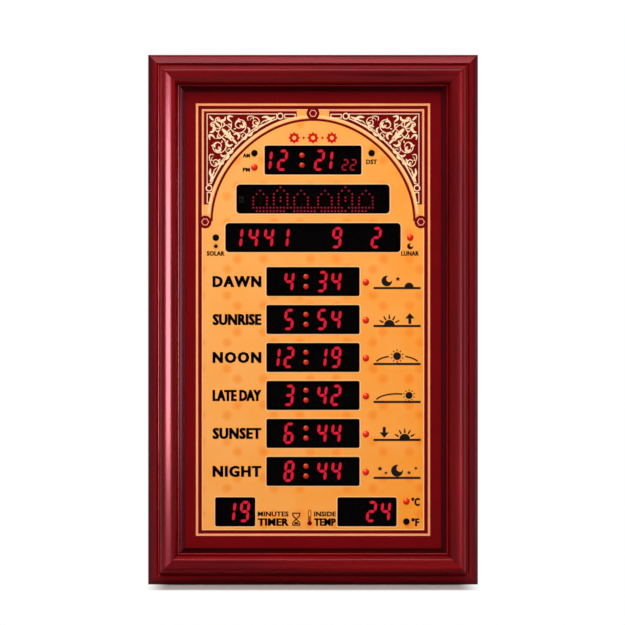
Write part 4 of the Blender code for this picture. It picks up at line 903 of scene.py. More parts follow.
def moulding(length, inward, x, z):
    """One length of moulding, mitred at both ends; inward is the way across it."""
    curve = bpy.data.curves.new("section", "CURVE")
    curve.dimensions = "2D"
    curve.fill_mode = "BOTH"
    curve.extrude = length / 2
    outline = moulding_outline()
    spline = curve.splines.new("POLY")
    spline.points.add(len(outline) - 1)
    for point, (across, depth) in zip(spline.points, outline):
        point.co = (across, depth, 0, 1)
    spline.use_cyclic_u = True
    obj = bpy.data.objects.new("section", curve)
    bpy.context.scene.collection.objects.link(obj)
    first = Vector((inward[0], 0, inward[1]))
    second = Vector((0, -1, 0))
    obj.matrix_world = Matrix.Translation((x, 0, FACE_Z + z)) @ Matrix(
        (first, second, first.cross(second))
    ).transposed().to_4x4()
    obj = as_mesh(obj)
    along = first.cross(second)
    for sign in (1, -1):
        pick(obj)
        bpy.ops.object.mode_set(mode="EDIT")
        bpy.ops.mesh.select_all(action="SELECT")
        corner = Vector((x, 0, FACE_Z + z)) + along * sign * (length / 2 - MITRE_GAP)
        normal = (along * sign + first).normalized()
        bpy.ops.mesh.bisect(
            plane_co=corner, plane_no=normal, use_fill=True, clear_outer=True, clear_inner=False
        )
        bpy.ops.object.mode_set(mode="OBJECT")
    return obj


def cut_box(obj, size, centre):
    """Cut a box out of a piece."""
    deselect()
    bpy.ops.mesh.primitive_cube_add(size=1, location=centre)
    cutter = bpy.context.object
    cutter.scale = size
    bpy.ops.object.transform_apply(location=True, rotation=True, scale=True)
    pick(obj)
    modifier = obj.modifiers.new("cut", "BOOLEAN")
    modifier.object = cutter
    modifier.operation = "DIFFERENCE"
    modifier.solver = "EXACT"
    bpy.ops.object.modifier_apply(modifier=modifier.name)
    bpy.data.objects.remove(cutter)


class CLOCK_OT_frame_moulding(bpy.types.Operator):
    """Build the four mitred lengths of the lacquered frame"""

    bl_idname = "clock.frame_moulding"
    bl_label = "Frame moulding"

    def execute(self, context):
        rail_wood = wood("rail", (0, 0, 0))
        stile_wood = wood("stile", (0, math.pi / 2, 0))
        wide = 2 * FRAME_HALF_WIDTH
        tall = 2 * FRAME_HALF_HEIGHT
        back_width = MOULDING_WIDTH - REBATE_WIDTH - LEDGE_WIDTH

        top = moulding(wide, (0, -1), 0, FRAME_HALF_HEIGHT)
        pocket_height = back_width - POCKET_TOP + OVERRUN
        pocket_z = FACE_Z + FRAME_HALF_HEIGHT - POCKET_TOP - pocket_height / 2
        cut_box(
            top, (POCKET_WIDTH, POCKET_DEPTH + OVERRUN, pocket_height),
            (0, (OVERRUN - POCKET_DEPTH) / 2, pocket_z),
        )
        finish_piece(top, "top_rail_moulding", rail_wood)
        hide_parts("frame_top_rail")

        bottom = moulding(wide, (0, 1), 0, -FRAME_HALF_HEIGHT)
        inlet_x, _ = node_centre("power_inlet")
        channel_height = MOULDING_WIDTH - REBATE_WIDTH + 2 * OVERRUN
        cut_box(
            bottom, (CHANNEL_WIDTH, CHANNEL_DEPTH + OVERRUN, channel_height),
            (inlet_x, (OVERRUN - CHANNEL_DEPTH) / 2,
             FACE_Z - FRAME_HALF_HEIGHT - OVERRUN + channel_height / 2),
        )
        finish_piece(bottom, "bottom_rail_moulding", rail_wood)
        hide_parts("frame_bottom_rail")

        left = moulding(tall, (1, 0), -FRAME_HALF_WIDTH, 0)
        finish_piece(left, "left_stile_moulding", stile_wood)
        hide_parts("frame_left_stile")
        right = moulding(tall, (-1, 0), FRAME_HALF_WIDTH, 0)
        finish_piece(right, "right_stile_moulding", stile_wood)
        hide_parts("frame_right_stile")
        return {"FINISHED"}


# Face


ROWS = range(1, 7)
WIDE_CORNER = 4.4 * MM
NARROW_CORNER = 2.2 * MM
DISPLAY_MARGIN = 0.7 * MM
MESSAGE_END_MARGIN = 9.75 * MM


def window_of(nodes, corner):
    """A window's outline data from the displays behind it: x, z, width, height and corner."""
    boxes = [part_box(node) for node in nodes]
    low = min(box[0].x for box in boxes) + DISPLAY_MARGIN
    high = max(box[1].x for box in boxes) - DISPLAY_MARGIN
    height = node_size("row_display_1")[1] - 2 * DISPLAY_MARGIN
    return (low + high) / 2, node_centre(nodes[0])[1], high - low, height, corner


def window_list():
    windows = [window_of(("time_display", "seconds_display"), NARROW_CORNER)]
    x, z, width, height, corner = window_of(("message_display",), WIDE_CORNER)
    windows.append((x, z, width + 2 * (MESSAGE_END_MARGIN + DISPLAY_MARGIN), height, corner))
    windows.append(window_of(("year_display", "month_display", "day_display"), WIDE_CORNER))
    for row in ROWS:
        windows.append(window_of((f"row_display_{row}",), NARROW_CORNER))
    windows.append(window_of(("countdown_display",), NARROW_CORNER))
    windows.append(window_of(("temperature_display",), NARROW_CORNER))
    return windows


class CLOCK_OT_face_sheet(bpy.types.Operator):
    """Build the face sheet with its windows, lamp holes and window rims"""

    bl_idname = "clock.face_sheet"
    bl_label = "Face sheet"

    def execute(self, context):
        width, height = node_size("face_film")
        windows = window_list()
        loops = [rectangle(0, 0, width, height)]
        loops += [rounded(*window) for window in windows]
        for lamp in LIT_LAMPS + DARK_LAMPS:
            x, z = node_centre(lamp)
            loops.append(disc(x, z, LAMP_RADIUS + LAMP_GAP))
        sheet = plate(loops, FILM_BACK, FILM_FRONT)
        finish_piece(sheet, "face_sheet", field_print())
        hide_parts("face_film")

        rims = []
        for x, z, wide, tall, corner in windows:
            outer = rounded(x, z, wide + 2 * RIM_WIDTH, tall + 2 * RIM_WIDTH, corner + RIM_WIDTH)
            inner = rounded(x, z, wide, tall, corner)
            rims.append(plate([outer, inner], FILM_FRONT, FILM_FRONT + sizes().ink))
        rim = joined(rims)
        peach = ink_of("peach_ink")
        finish_piece(rim, "window_rims", peach)
        return {"FINISHED"}


def arch_points(offset, start=0.0, end=180.0, steps=96):
    """Points along the arch, a given distance outside its line."""
    points = []
    for step in range(steps + 1):
        angle = math.radians(start + (end - start) * step / steps)
        radius = ARCH_RADIUS + ARCH_SWELL * math.cos(4 * angle) + offset
        points.append((radius * math.cos(angle), ARCH_Z + radius * math.sin(angle)))
    return points


def mirrored(points):
    return [(-x, z) for x, z in points]


def spandrel_outline():
    """Ground of the left spandrel: straight edges along the field and the arch's curve."""
    curve = [
        point for point in arch_points(SPANDREL_OFFSET, 90, 180)
        if point[1] > SPANDREL_FOOT_Z and point[0] < -SPANDREL_INNER_X
    ]
    edge = FIELD_HALF_WIDTH - SPANDREL_EDGE_WIDTH
    top = FIELD_HALF_HEIGHT - SPANDREL_EDGE_WIDTH
    foot = [(curve[-1][0], SPANDREL_FOOT_Z), (-edge, SPANDREL_FOOT_Z)]
    head = [(-edge, top), (-SPANDREL_INNER_X, top), (-SPANDREL_INNER_X, curve[0][1])]
    return curve + foot + head


class CLOCK_OT_face_border(bpy.types.Operator):
    """Print the dark red border, the gold line and the field's pale edge"""

    bl_idname = "clock.face_border"
    bl_label = "Face border"

    def execute(self, context):
        ink = sizes().ink
        width, height = node_size("face_film")
        field = rectangle(0, 0, 2 * FIELD_HALF_WIDTH, 2 * FIELD_HALF_HEIGHT)
        red = ink_of("dark_red_ink")
        border = plate([rectangle(0, 0, width, height), field], FILM_FRONT, FILM_FRONT + ink)
        finish_piece(border, "border_print", red)

        gold = ink_of("gold_ink")
        outer = rectangle(0, 0, 2 * GOLD_HALF_WIDTH + GOLD_WIDTH, 2 * GOLD_HALF_HEIGHT + GOLD_WIDTH)
        inner = rectangle(0, 0, 2 * GOLD_HALF_WIDTH - GOLD_WIDTH, 2 * GOLD_HALF_HEIGHT - GOLD_WIDTH)
        line = plate([outer, inner], FILM_FRONT, FILM_FRONT + 2 * ink)
        finish_piece(line, "gold_line", gold)

        peach = ink_of("peach_ink")
        shrunk = rectangle(0, 0, 2 * (FIELD_HALF_WIDTH - RIM_WIDTH), 2 * (FIELD_HALF_HEIGHT - RIM_WIDTH))
        edge = plate([field, shrunk], FILM_FRONT, FILM_FRONT + ink)
        finish_piece(edge, "field_edge", peach)
        return {"FINISHED"}


class CLOCK_OT_arch(bpy.types.Operator):
    """Print the arch with its band, rosettes and the spandrels' ground"""

    bl_idname = "clock.arch"
    bl_label = "Arch"

    def execute(self, context):
        ink = sizes().ink
        red = ink_of("dark_red_ink")
        pink = ink_of("pink_ink")
        peach = ink_of("peach_ink")
        left = spandrel_outline()
        grounds = [plate([loop], FILM_FRONT, FILM_FRONT + ink) for loop in (left, mirrored(left))]
        finish_piece(joined(grounds), "spandrel_ground", red)

        line = strokes([even(arch_points(0), ARCH_LINE_WIDTH / 2)], FILM_FRONT, 0.04)
        finish_piece(line, "arch_line", red)

        band = [even(arch_points(ARCH_BAND_OFFSET, 4, 176), ARCH_BAND_WIDTH / 2)]
        finish_piece(strokes(band, FILM_FRONT + ink * 0.2, 0.04), "arch_band", peach)

        half = SPANDREL_EDGE_WIDTH / 2
        edge_x = FIELD_HALF_WIDTH - half
        edge_z = FIELD_HALF_HEIGHT - half
        run = [(-edge_x, SPANDREL_FOOT_Z), (-edge_x, edge_z), (-SPANDREL_INNER_X, edge_z)]
        edges = [even(run, half * 0.9), even(mirrored(run), half * 0.9)]
        finish_piece(strokes(edges, FILM_FRONT + ink, 0.05), "spandrel_edges", pink)

        rosettes = []
        rings = []
        for x, z in ((-ROSETTE_X, ROSETTE_Z), (ROSETTE_X, ROSETTE_Z), (0, ROSETTE_TOP_Z)):
            rosettes.append(plate([disc(x, z, ROSETTE_RADIUS, 48)], FILM_FRONT, FILM_FRONT + 2.4 * ink))
            ring = []
            for step in range(48):
                angle = 2 * math.pi * step / 48
                radius = ROSETTE_RING_RADIUS + 0.35 * MM * math.cos(6 * angle)
                ring.append((x + radius * math.cos(angle), z + radius * math.sin(angle)))
            rings.append(even(ring, 0.55 * MM, True))
        finish_piece(joined(rosettes), "rosettes", red)
        finish_piece(strokes(rings, FILM_FRONT + 2.4 * ink, 0.06), "rosette_rings", pink)
        return {"FINISHED"}


# Scrollwork, drawn from the spandrel's outer corner: u along the top and v down the side

TAPER_END = 0.45
TAPER_RATE = 4

# Border of a spandrel: where its curve is cut, its straight runs, and its boxes and rings
BORDER_CLEAR_X = 3.2 * MM
BORDER_CLEAR_Z = 3.0 * MM
BORDER_INNER_X = -42 * MM
BORDER_LOWEST_Z = 158 * MM
BORDER_TOP_RUN = 81.5 * MM
BORDER_SIDE_RUN = 82.5 * MM
BORDER_BOXES = ((97.0, 2.6, 12.2, 4.4), (2.4, 98.0, 4.6, 12.0))
BORDER_BOX_LINE = 0.8 * MM
BORDER_RINGS = ((85.6, 2.6), (2.3, 86.9))
BORDER_RING_RADIUS = 3.3 * MM
BORDER_RING_LINE = 0.75 * MM


def spiral(centre, radii, start, turns, steps=30):
    """Points on a spiral from its outer end to its inner one; turns may be negative."""
    points = []
    for step in range(steps + 1):
        share = step / steps
        radius = radii[0] + (radii[1] - radii[0]) * share ** 0.8
        angle = math.radians(start) + 2 * math.pi * turns * share
        points.append((centre[0] + radius * math.cos(angle), centre[1] + radius * math.sin(angle)))
    return points


def smooth_line(points, steps=8):
    """A smooth line through given points."""
    line = []
    ends = [points[0]] + list(points) + [points[-1]]
    for index in range(1, len(ends) - 2):
        before, first, second, after = ends[index - 1:index + 3]
        for step in range(steps):
            t = step / steps
            line.append(tuple(
                0.5 * (
                    2 * b + (c - a) * t + (2 * a - 5 * b + 4 * c - d) * t ** 2
                    + (3 * b - a - 3 * c + d) * t ** 3
                )
                for a, b, c, d in zip(before, first, second, after)
            ))
    line.append(tuple(points[-1]))
    return line


def tapered(points, half_width):
    """A line that thins towards its ends."""
    count = len(points) - 1
    widths = []
    for index in range(count + 1):
        share = index / count
        first = TAPER_END + (1 - TAPER_END) * share * TAPER_RATE
        last = TAPER_END + (1 - TAPER_END) * (1 - share) * TAPER_RATE
        thin = min(first, last, 1.0)
        widths.append(half_width * thin)
    return points, widths, False


def leaf(points, half_width):
    """A leaf: a line that swells in its middle and ends in points."""
    line = smooth_line(points, 6)
    count = len(line) - 1
    widths = []
    for index in range(count + 1):
        widths.append(half_width * (0.18 + 0.82 * math.sin(math.pi * index / count) ** 0.8))
    return line, widths, False


def scroll_lines(half):
    """Lines of one half of a spandrel's scrollwork, in millimetres from its corner."""
    thin = half / MM
    lines = [
        tapered(spiral((38, 13), (10.6, 2.2), 150, -1.45), thin),
        tapered(spiral((56.5, 9.6), (6.8, 1.6), 200, 1.35), thin),
        tapered(spiral((42.5, 25.5), (4.4, 1.2), 210, 1.2, 20), thin * 0.9),
        tapered(spiral((57, 17.6), (3.0, 0.9), 190, 1.15, 18), thin * 0.85),
        tapered(smooth_line([
            (35.5, 34), (40.5, 31), (46, 24.5), (52, 19.5), (60, 14.8), (69, 10.8), (76, 6.2),
        ]), thin),
        tapered(smooth_line([(22, 22), (25.5, 19), (28, 16), (28.8, 9)]), thin),
        tapered(smooth_line([(48, 8), (47.5, 4), (50.5, 2.6), (55, 2.8)]), thin),
        tapered(smooth_line([(62.5, 12), (66, 8.4), (71, 6.8), (77, 4.6)]), thin),
        leaf([(64, 4.2), (69, 3.4), (74, 5.4), (80, 3.4)], 1.7),
        leaf([(38, 13), (41.5, 15.6), (43.4, 12), (41, 9.4)], 1.5),
        leaf([(33, 12), (35.5, 8.6), (39.5, 9.2)], 1.3),
        leaf([(56.5, 9.6), (58.6, 11.2), (59.8, 8.8)], 1.2),
        leaf([(28.6, 9), (25, 6), (25.5, 2.6), (30.5, 3.4)], 1.5),
        leaf([(46, 24.5), (50.5, 25), (53.6, 21.6)], 1.3),
        leaf([(31, 24.5), (35, 22.6), (37.5, 26), (35.6, 30)], 1.7),
        leaf([(17, 9.4), (20.6, 6.6), (21.4, 3)], 1.4),
        leaf([(47, 15.5), (49.6, 18.4), (48.2, 21)], 1.2),
        tapered(smooth_line([(18.5, 13), (23.5, 13.4), (27.8, 17.6), (31.5, 22.5)]), thin),
        leaf([(4.4, 11.5), (8.2, 14.2), (6.4, 19.4)], 1.3),
        leaf([(20.5, 26.5), (25.4, 27.2), (28.6, 31.8)], 1.6),
        leaf([(24.2, 12), (27.4, 12.6), (28.6, 16)], 1.0),
        leaf([(52.5, 15.4), (55.4, 13.6), (58.6, 14.6)], 1.0),
        leaf([(68, 8.8), (71.6, 6.4), (75.6, 7.4)], 1.0),
        leaf([(39.5, 29.6), (44.2, 29.4), (46.8, 26.2)], 1.1),
    ]
    lines += sprigs((38, 13), 5.4, (20, 140, 260), 2.8, 0.8)
    lines += sprigs((56.5, 9.6), 3.6, (60, 240), 2.2, 0.7)
    return lines


def sprigs(centre, reach, angles, length, half_width):
    """Small leaves that spring from a scroll, at angles in degrees."""
    leaves = []
    for angle in angles:
        out = math.radians(angle)
        bend = math.radians(angle + 38)
        start = (centre[0] + reach * math.cos(out), centre[1] + reach * math.sin(out))
        middle = (start[0] + length * 0.55 * math.cos(out), start[1] + length * 0.55 * math.sin(out))
        end = (middle[0] + length * 0.55 * math.cos(bend), middle[1] + length * 0.55 * math.sin(bend))
        leaves.append(leaf([start, middle, end], half_width))
    return leaves


def centre_lines(half):
    """Lines on a spandrel's diagonal: the corner knot and the palmette."""
    thin = half / MM
    knot = []
    for step in range(40):
        angle = 2 * math.pi * step / 40
        radius = 6.6 + 1.7 * math.cos(4 * angle)
        knot.append((12.4 + radius * math.cos(angle), 12.4 + radius * math.sin(angle)))
    ring = [
        (12.4 + 4.6 * math.cos(2 * math.pi * step / 28), 12.4 + 4.6 * math.sin(2 * math.pi * step / 28))
        for step in range(28)
    ]
    return [
        (knot, [thin] * len(knot), True),
        (ring, [thin * 0.8] * len(ring), True),
        leaf([(9.6, 9.6), (12.4, 12.4), (15.6, 15.6)], 1.6),
        leaf([(2.6, 2.6), (5.2, 5.2), (7.6, 7.6)], 1.4),
        leaf([(17.4, 17.4), (21.6, 21.6), (27, 27)], 2.4),
        leaf([(29, 29), (32, 32), (35, 35)], 1.6),
    ]


class CLOCK_OT_scrollwork(bpy.types.Operator):
    """Print the cream scrollwork and the borders of both spandrels"""

    bl_idname = "clock.scrollwork"
    bl_label = "Scrollwork"

    def execute(self, context):
        ink = sizes().ink
        half = sizes().scroll_width / 2
        cream = ink_of("cream_ink")
        lines = scroll_lines(half)
        whole = lines + [([(v, u) for u, v in points], widths, closed) for points, widths, closed in lines]
        whole += centre_lines(half)
        for side, sign in (("left", 1), ("right", -1)):
            placed = []
            for points, widths, closed in whole:
                line = [
                    (sign * (SPANDREL_CORNER_X + u * MM), SPANDREL_CORNER_Z - v * MM) for u, v in points
                ]
                placed.append((line, [width * MM for width in widths], closed))
            piece = strokes(placed, FILM_FRONT + ink, 0.06)
            finish_piece(piece, f"scrollwork_{side}", cream)

            line_half = SPANDREL_LINE_WIDTH / 2
            curve = [
                point for point in arch_points(SPANDREL_BORDER_OFFSET, 90, 180, 120)
                if SPANDREL_CORNER_X + BORDER_CLEAR_X < point[0] < BORDER_INNER_X
                and BORDER_LOWEST_Z < point[1] < SPANDREL_CORNER_Z - BORDER_CLEAR_Z
            ]
            top_end = SPANDREL_CORNER_X + BORDER_TOP_RUN
            foot_end = SPANDREL_CORNER_Z - BORDER_SIDE_RUN
            loop = [(SPANDREL_CORNER_X, foot_end), (SPANDREL_CORNER_X, SPANDREL_CORNER_Z)]
            loop += [(top_end, SPANDREL_CORNER_Z)] + curve
            ornaments = [even([(sign * x, z) for x, z in loop], line_half * 0.85, True)]
            for u, v, wide, tall in BORDER_BOXES:
                box = rectangle(SPANDREL_CORNER_X + u * MM, SPANDREL_CORNER_Z - v * MM, wide * MM, tall * MM)
                ornaments.append(even([(sign * x, z) for x, z in box], BORDER_BOX_LINE, True))
            for u, v in BORDER_RINGS:
                ring = disc(SPANDREL_CORNER_X + u * MM, SPANDREL_CORNER_Z - v * MM, BORDER_RING_RADIUS, 28)
                ornaments.append(even([(sign * x, z) for x, z in ring], BORDER_RING_LINE, True))
            border = strokes(ornaments, FILM_FRONT + ink, 0.06)
            finish_piece(border, f"spandrel_border_{side}", cream)
        return {"FINISHED"}


# Labels


def text_plate(text, left, right, bottom, top, weight, spacing=1.0):
    """Printed words fitted to a box on the face, made heavier by printing them four times."""
    deselect()
    bpy.ops.object.text_add()
    obj = bpy.context.object
    obj.data.body = text
    obj.data.extrude = 0.5
    obj.data.offset = TEXT_SWELL
    obj.data.resolution_u = 2
    obj.data.space_character = spacing
    pick(obj)
    bpy.ops.object.convert(target="MESH")
    obj = bpy.context.object
    xs = [vertex.co.x for vertex in obj.data.vertices]
    ys = [vertex.co.y for vertex in obj.data.vertices]
    ink = sizes().ink
    rise = weight * TEXT_RISE_SHARE
    wide = (right - left - 2 * weight) / (max(xs) - min(xs))
    tall = (top - bottom - 2 * rise) / (max(ys) - min(ys))
    shift = Matrix.Translation((-min(xs), -min(ys), 0))
    scale = Matrix.Diagonal((wide, tall, ink, 1))
    turn = Matrix.Rotation(math.pi / 2, 4, "X")
    obj.data.transform(turn @ scale @ shift)
    strikes = []
    for across in (0, 2 * weight):
        for up in (0, 2 * rise):
            strike = obj.copy()
            strike.data = obj.data.copy()
            place = (left + across, -FILM_FRONT - ink / 2, FACE_Z + bottom + up)
            strike.data.transform(Matrix.Translation(place))
            bpy.context.scene.collection.objects.link(strike)
            strikes.append(strike)
    bpy.data.objects.remove(obj)
    return joined(strikes)


TEXT_SWELL = 0.018
TEXT_RISE_SHARE = 0.4
ROW_WORDS = (
    ("DAWN", 1.24), ("SUNRISE", 1.06), ("NOON", 1.24), ("LATE DAY", 1.0), ("SUNSET", 1.1), ("NIGHT", 1.16),
)
ROW_WORD_LEFT = -117.6 * MM
ROW_WORD_RIGHT = -60.4 * MM
CAP_HEIGHT = 13.2 * MM
ROW_WEIGHT = 0.7 * MM
SIGN_WEIGHT = 0.5 * MM
SMALL_WEIGHT = 0.24 * MM


class CLOCK_OT_labels(bpy.types.Operator):
    """Print the words and signs that say what the displays show"""

    bl_idname = "clock.labels"
    bl_label = "Labels"

    def execute(self, context):
        black = ink_of("black_ink")
        words = []
        for row, (word, spacing) in zip(ROWS, ROW_WORDS):
            z = node_centre(f"row_display_{row}")[1]
            low = z - CAP_HEIGHT / 2
            words.append(text_plate(
                word, ROW_WORD_LEFT, ROW_WORD_RIGHT, low, low + CAP_HEIGHT, ROW_WEIGHT, spacing
            ))
        finish_piece(joined(words), "row_words", black)

        small = []
        for node, word, left, right, bottom, top, weight in (
            ("am_led", "AM", -13.6, -5.2, -5.2, -0.4, SMALL_WEIGHT),
            ("pm_led", "PM", -13.6, -5.2, -5.2, -0.4, SMALL_WEIGHT),
            ("summer_time_led", "DST", -6.4, 6.4, -13.0, -7.4, SMALL_WEIGHT),
            ("solar_calendar_led", "SOLAR", -10.6, 10.2, -21.4, -15.8, SMALL_WEIGHT),
            ("lunar_calendar_led", "LUNAR", -10.6, 10.2, -21.4, -15.8, SMALL_WEIGHT),
            ("celsius_led", "°C", 5.8, 15.8, -5.4, 4.6, SIGN_WEIGHT),
            ("fahrenheit_led", "°F", 5.8, 15.2, -5.4, 4.2, SIGN_WEIGHT),
            ("countdown_display", "TIMER", 26.4, 62.6, -16.4, -7.6, SIGN_WEIGHT),
            ("countdown_display", "MINUTES", 26.4, 62.6, -5.4, 0.4, SMALL_WEIGHT),
            ("temperature_display", "TEMP", -62.0, -36.4, -16.4, -7.6, SIGN_WEIGHT),
            ("temperature_display", "INSIDE", -62.0, -36.4, -5.4, 0.4, SMALL_WEIGHT),
        ):
            x, z = node_centre(node)
            small.append(text_plate(
                word, x + left * MM, x + right * MM, z + bottom * MM, z + top * MM, weight, 1.06
            ))
        finish_piece(joined(small), "small_words", black)
        return {"FINISHED"}


def star(x, z, outer, inner, points=8, turn=0.0):
    """Star outline."""
    outline = []
    for step in range(points * 2):
        radius = outer if step % 2 == 0 else inner
        angle = turn + math.pi * step / points
        outline.append((x + radius * math.cos(angle), z + radius * math.sin(angle)))
    return outline


RAY_HALF_ANGLE = 0.16
RAY_INNER_SHARE = 1.3
RAY_OUTER_SHARE = 1.85
CRESCENT_BITE = 0.78
CRESCENT_SHIFT = 0.42
CRESCENT_LIFT = 0.55


def crescent(x, z, radius):
    """Crescent outline that opens to the upper right."""
    outer = arc(x, z, radius, 75, 375, 36)
    centre_x = x + radius * CRESCENT_SHIFT
    centre_z = z + radius * CRESCENT_SHIFT * CRESCENT_LIFT
    first = math.degrees(math.atan2(outer[-1][1] - centre_z, outer[-1][0] - centre_x))
    last = math.degrees(math.atan2(outer[0][1] - centre_z, outer[0][0] - centre_x))
    inner = []
    for step in range(1, 24):
        share = step / 24
        angle = math.radians(first - ((first - last) % 360) * share)
        start = math.dist((centre_x, centre_z), outer[-1])
        end = math.dist((centre_x, centre_z), outer[0])
        reach = start + (end - start) * share
        narrowing = CRESCENT_BITE + (1 - CRESCENT_BITE) * abs(1 - 2 * share)
        reach = reach * (1 - 0.22 * math.sin(math.pi * share)) * narrowing
        inner.append((centre_x + reach * math.cos(angle), centre_z + reach * math.sin(angle)))
    return outer + inner


def sun_loops(x, z, radius, rays=10):
    """A sun: its disc and its rays."""
    loops = [disc(x, z, radius, 28)]
    inner = radius * RAY_INNER_SHARE
    outer = radius * RAY_OUTER_SHARE
    for ray in range(rays):
        angle = 2 * math.pi * ray / rays + math.pi / 2
        loops.append([
            (x + inner * math.cos(angle - RAY_HALF_ANGLE), z + inner * math.sin(angle - RAY_HALF_ANGLE)),
            (x + outer * math.cos(angle), z + outer * math.sin(angle)),
            (x + inner * math.cos(angle + RAY_HALF_ANGLE), z + inner * math.sin(angle + RAY_HALF_ANGLE)),
        ])
    return loops


SIGN_X = 98.4 * MM
SIGN_HALF_WIDTH = 27.5 * MM
SIGN_DROP = 7.6 * MM
SIGN_BAR = 2.6 * MM
SIGN_LINE = 1.0 * MM
STAR_TURN = math.radians(18)
RED_STAR_RISE = 26.0 * MM


def half_sun(x, z, radius, rays):
    """Sun that is half over the horizon."""
    loops = [arc(x, z + SIGN_BAR * 0.4, radius * 0.72, 0, 180, 20)]
    for ray in range(1, 6) if rays else ():
        turn = math.pi * ray / 6
        inner = radius * 0.95
        outer = radius * 1.55
        loops.append([
            (x + inner * math.cos(turn - 0.13), z + inner * math.sin(turn - 0.13)),
            (x + outer * math.cos(turn - 0.05), z + outer * math.sin(turn - 0.05)),
            (x + outer * math.cos(turn + 0.05), z + outer * math.sin(turn + 0.05)),
            (x + inner * math.cos(turn + 0.13), z + inner * math.sin(turn + 0.13)),
        ])
    return loops


def arrow(x, z, half, way):
    """Arrow that points up or down."""
    head = [(x - half * 0.85, z), (x + half * 0.85, z), (x, z + way * half)]
    return [head, rectangle(x, z - way * half * 0.5, half * 0.55, half)]


def day_arch(base, start, end):
    """Points of the sun's path over the horizon, between two angles in degrees."""
    points = []
    for x, z in arc(0, 0, 1.0, 180 - start, 180 - end, 20):
        points.append((SIGN_X + x * SIGN_HALF_WIDTH * 0.92, base + z * SIGN_DROP * 1.25))
    return points


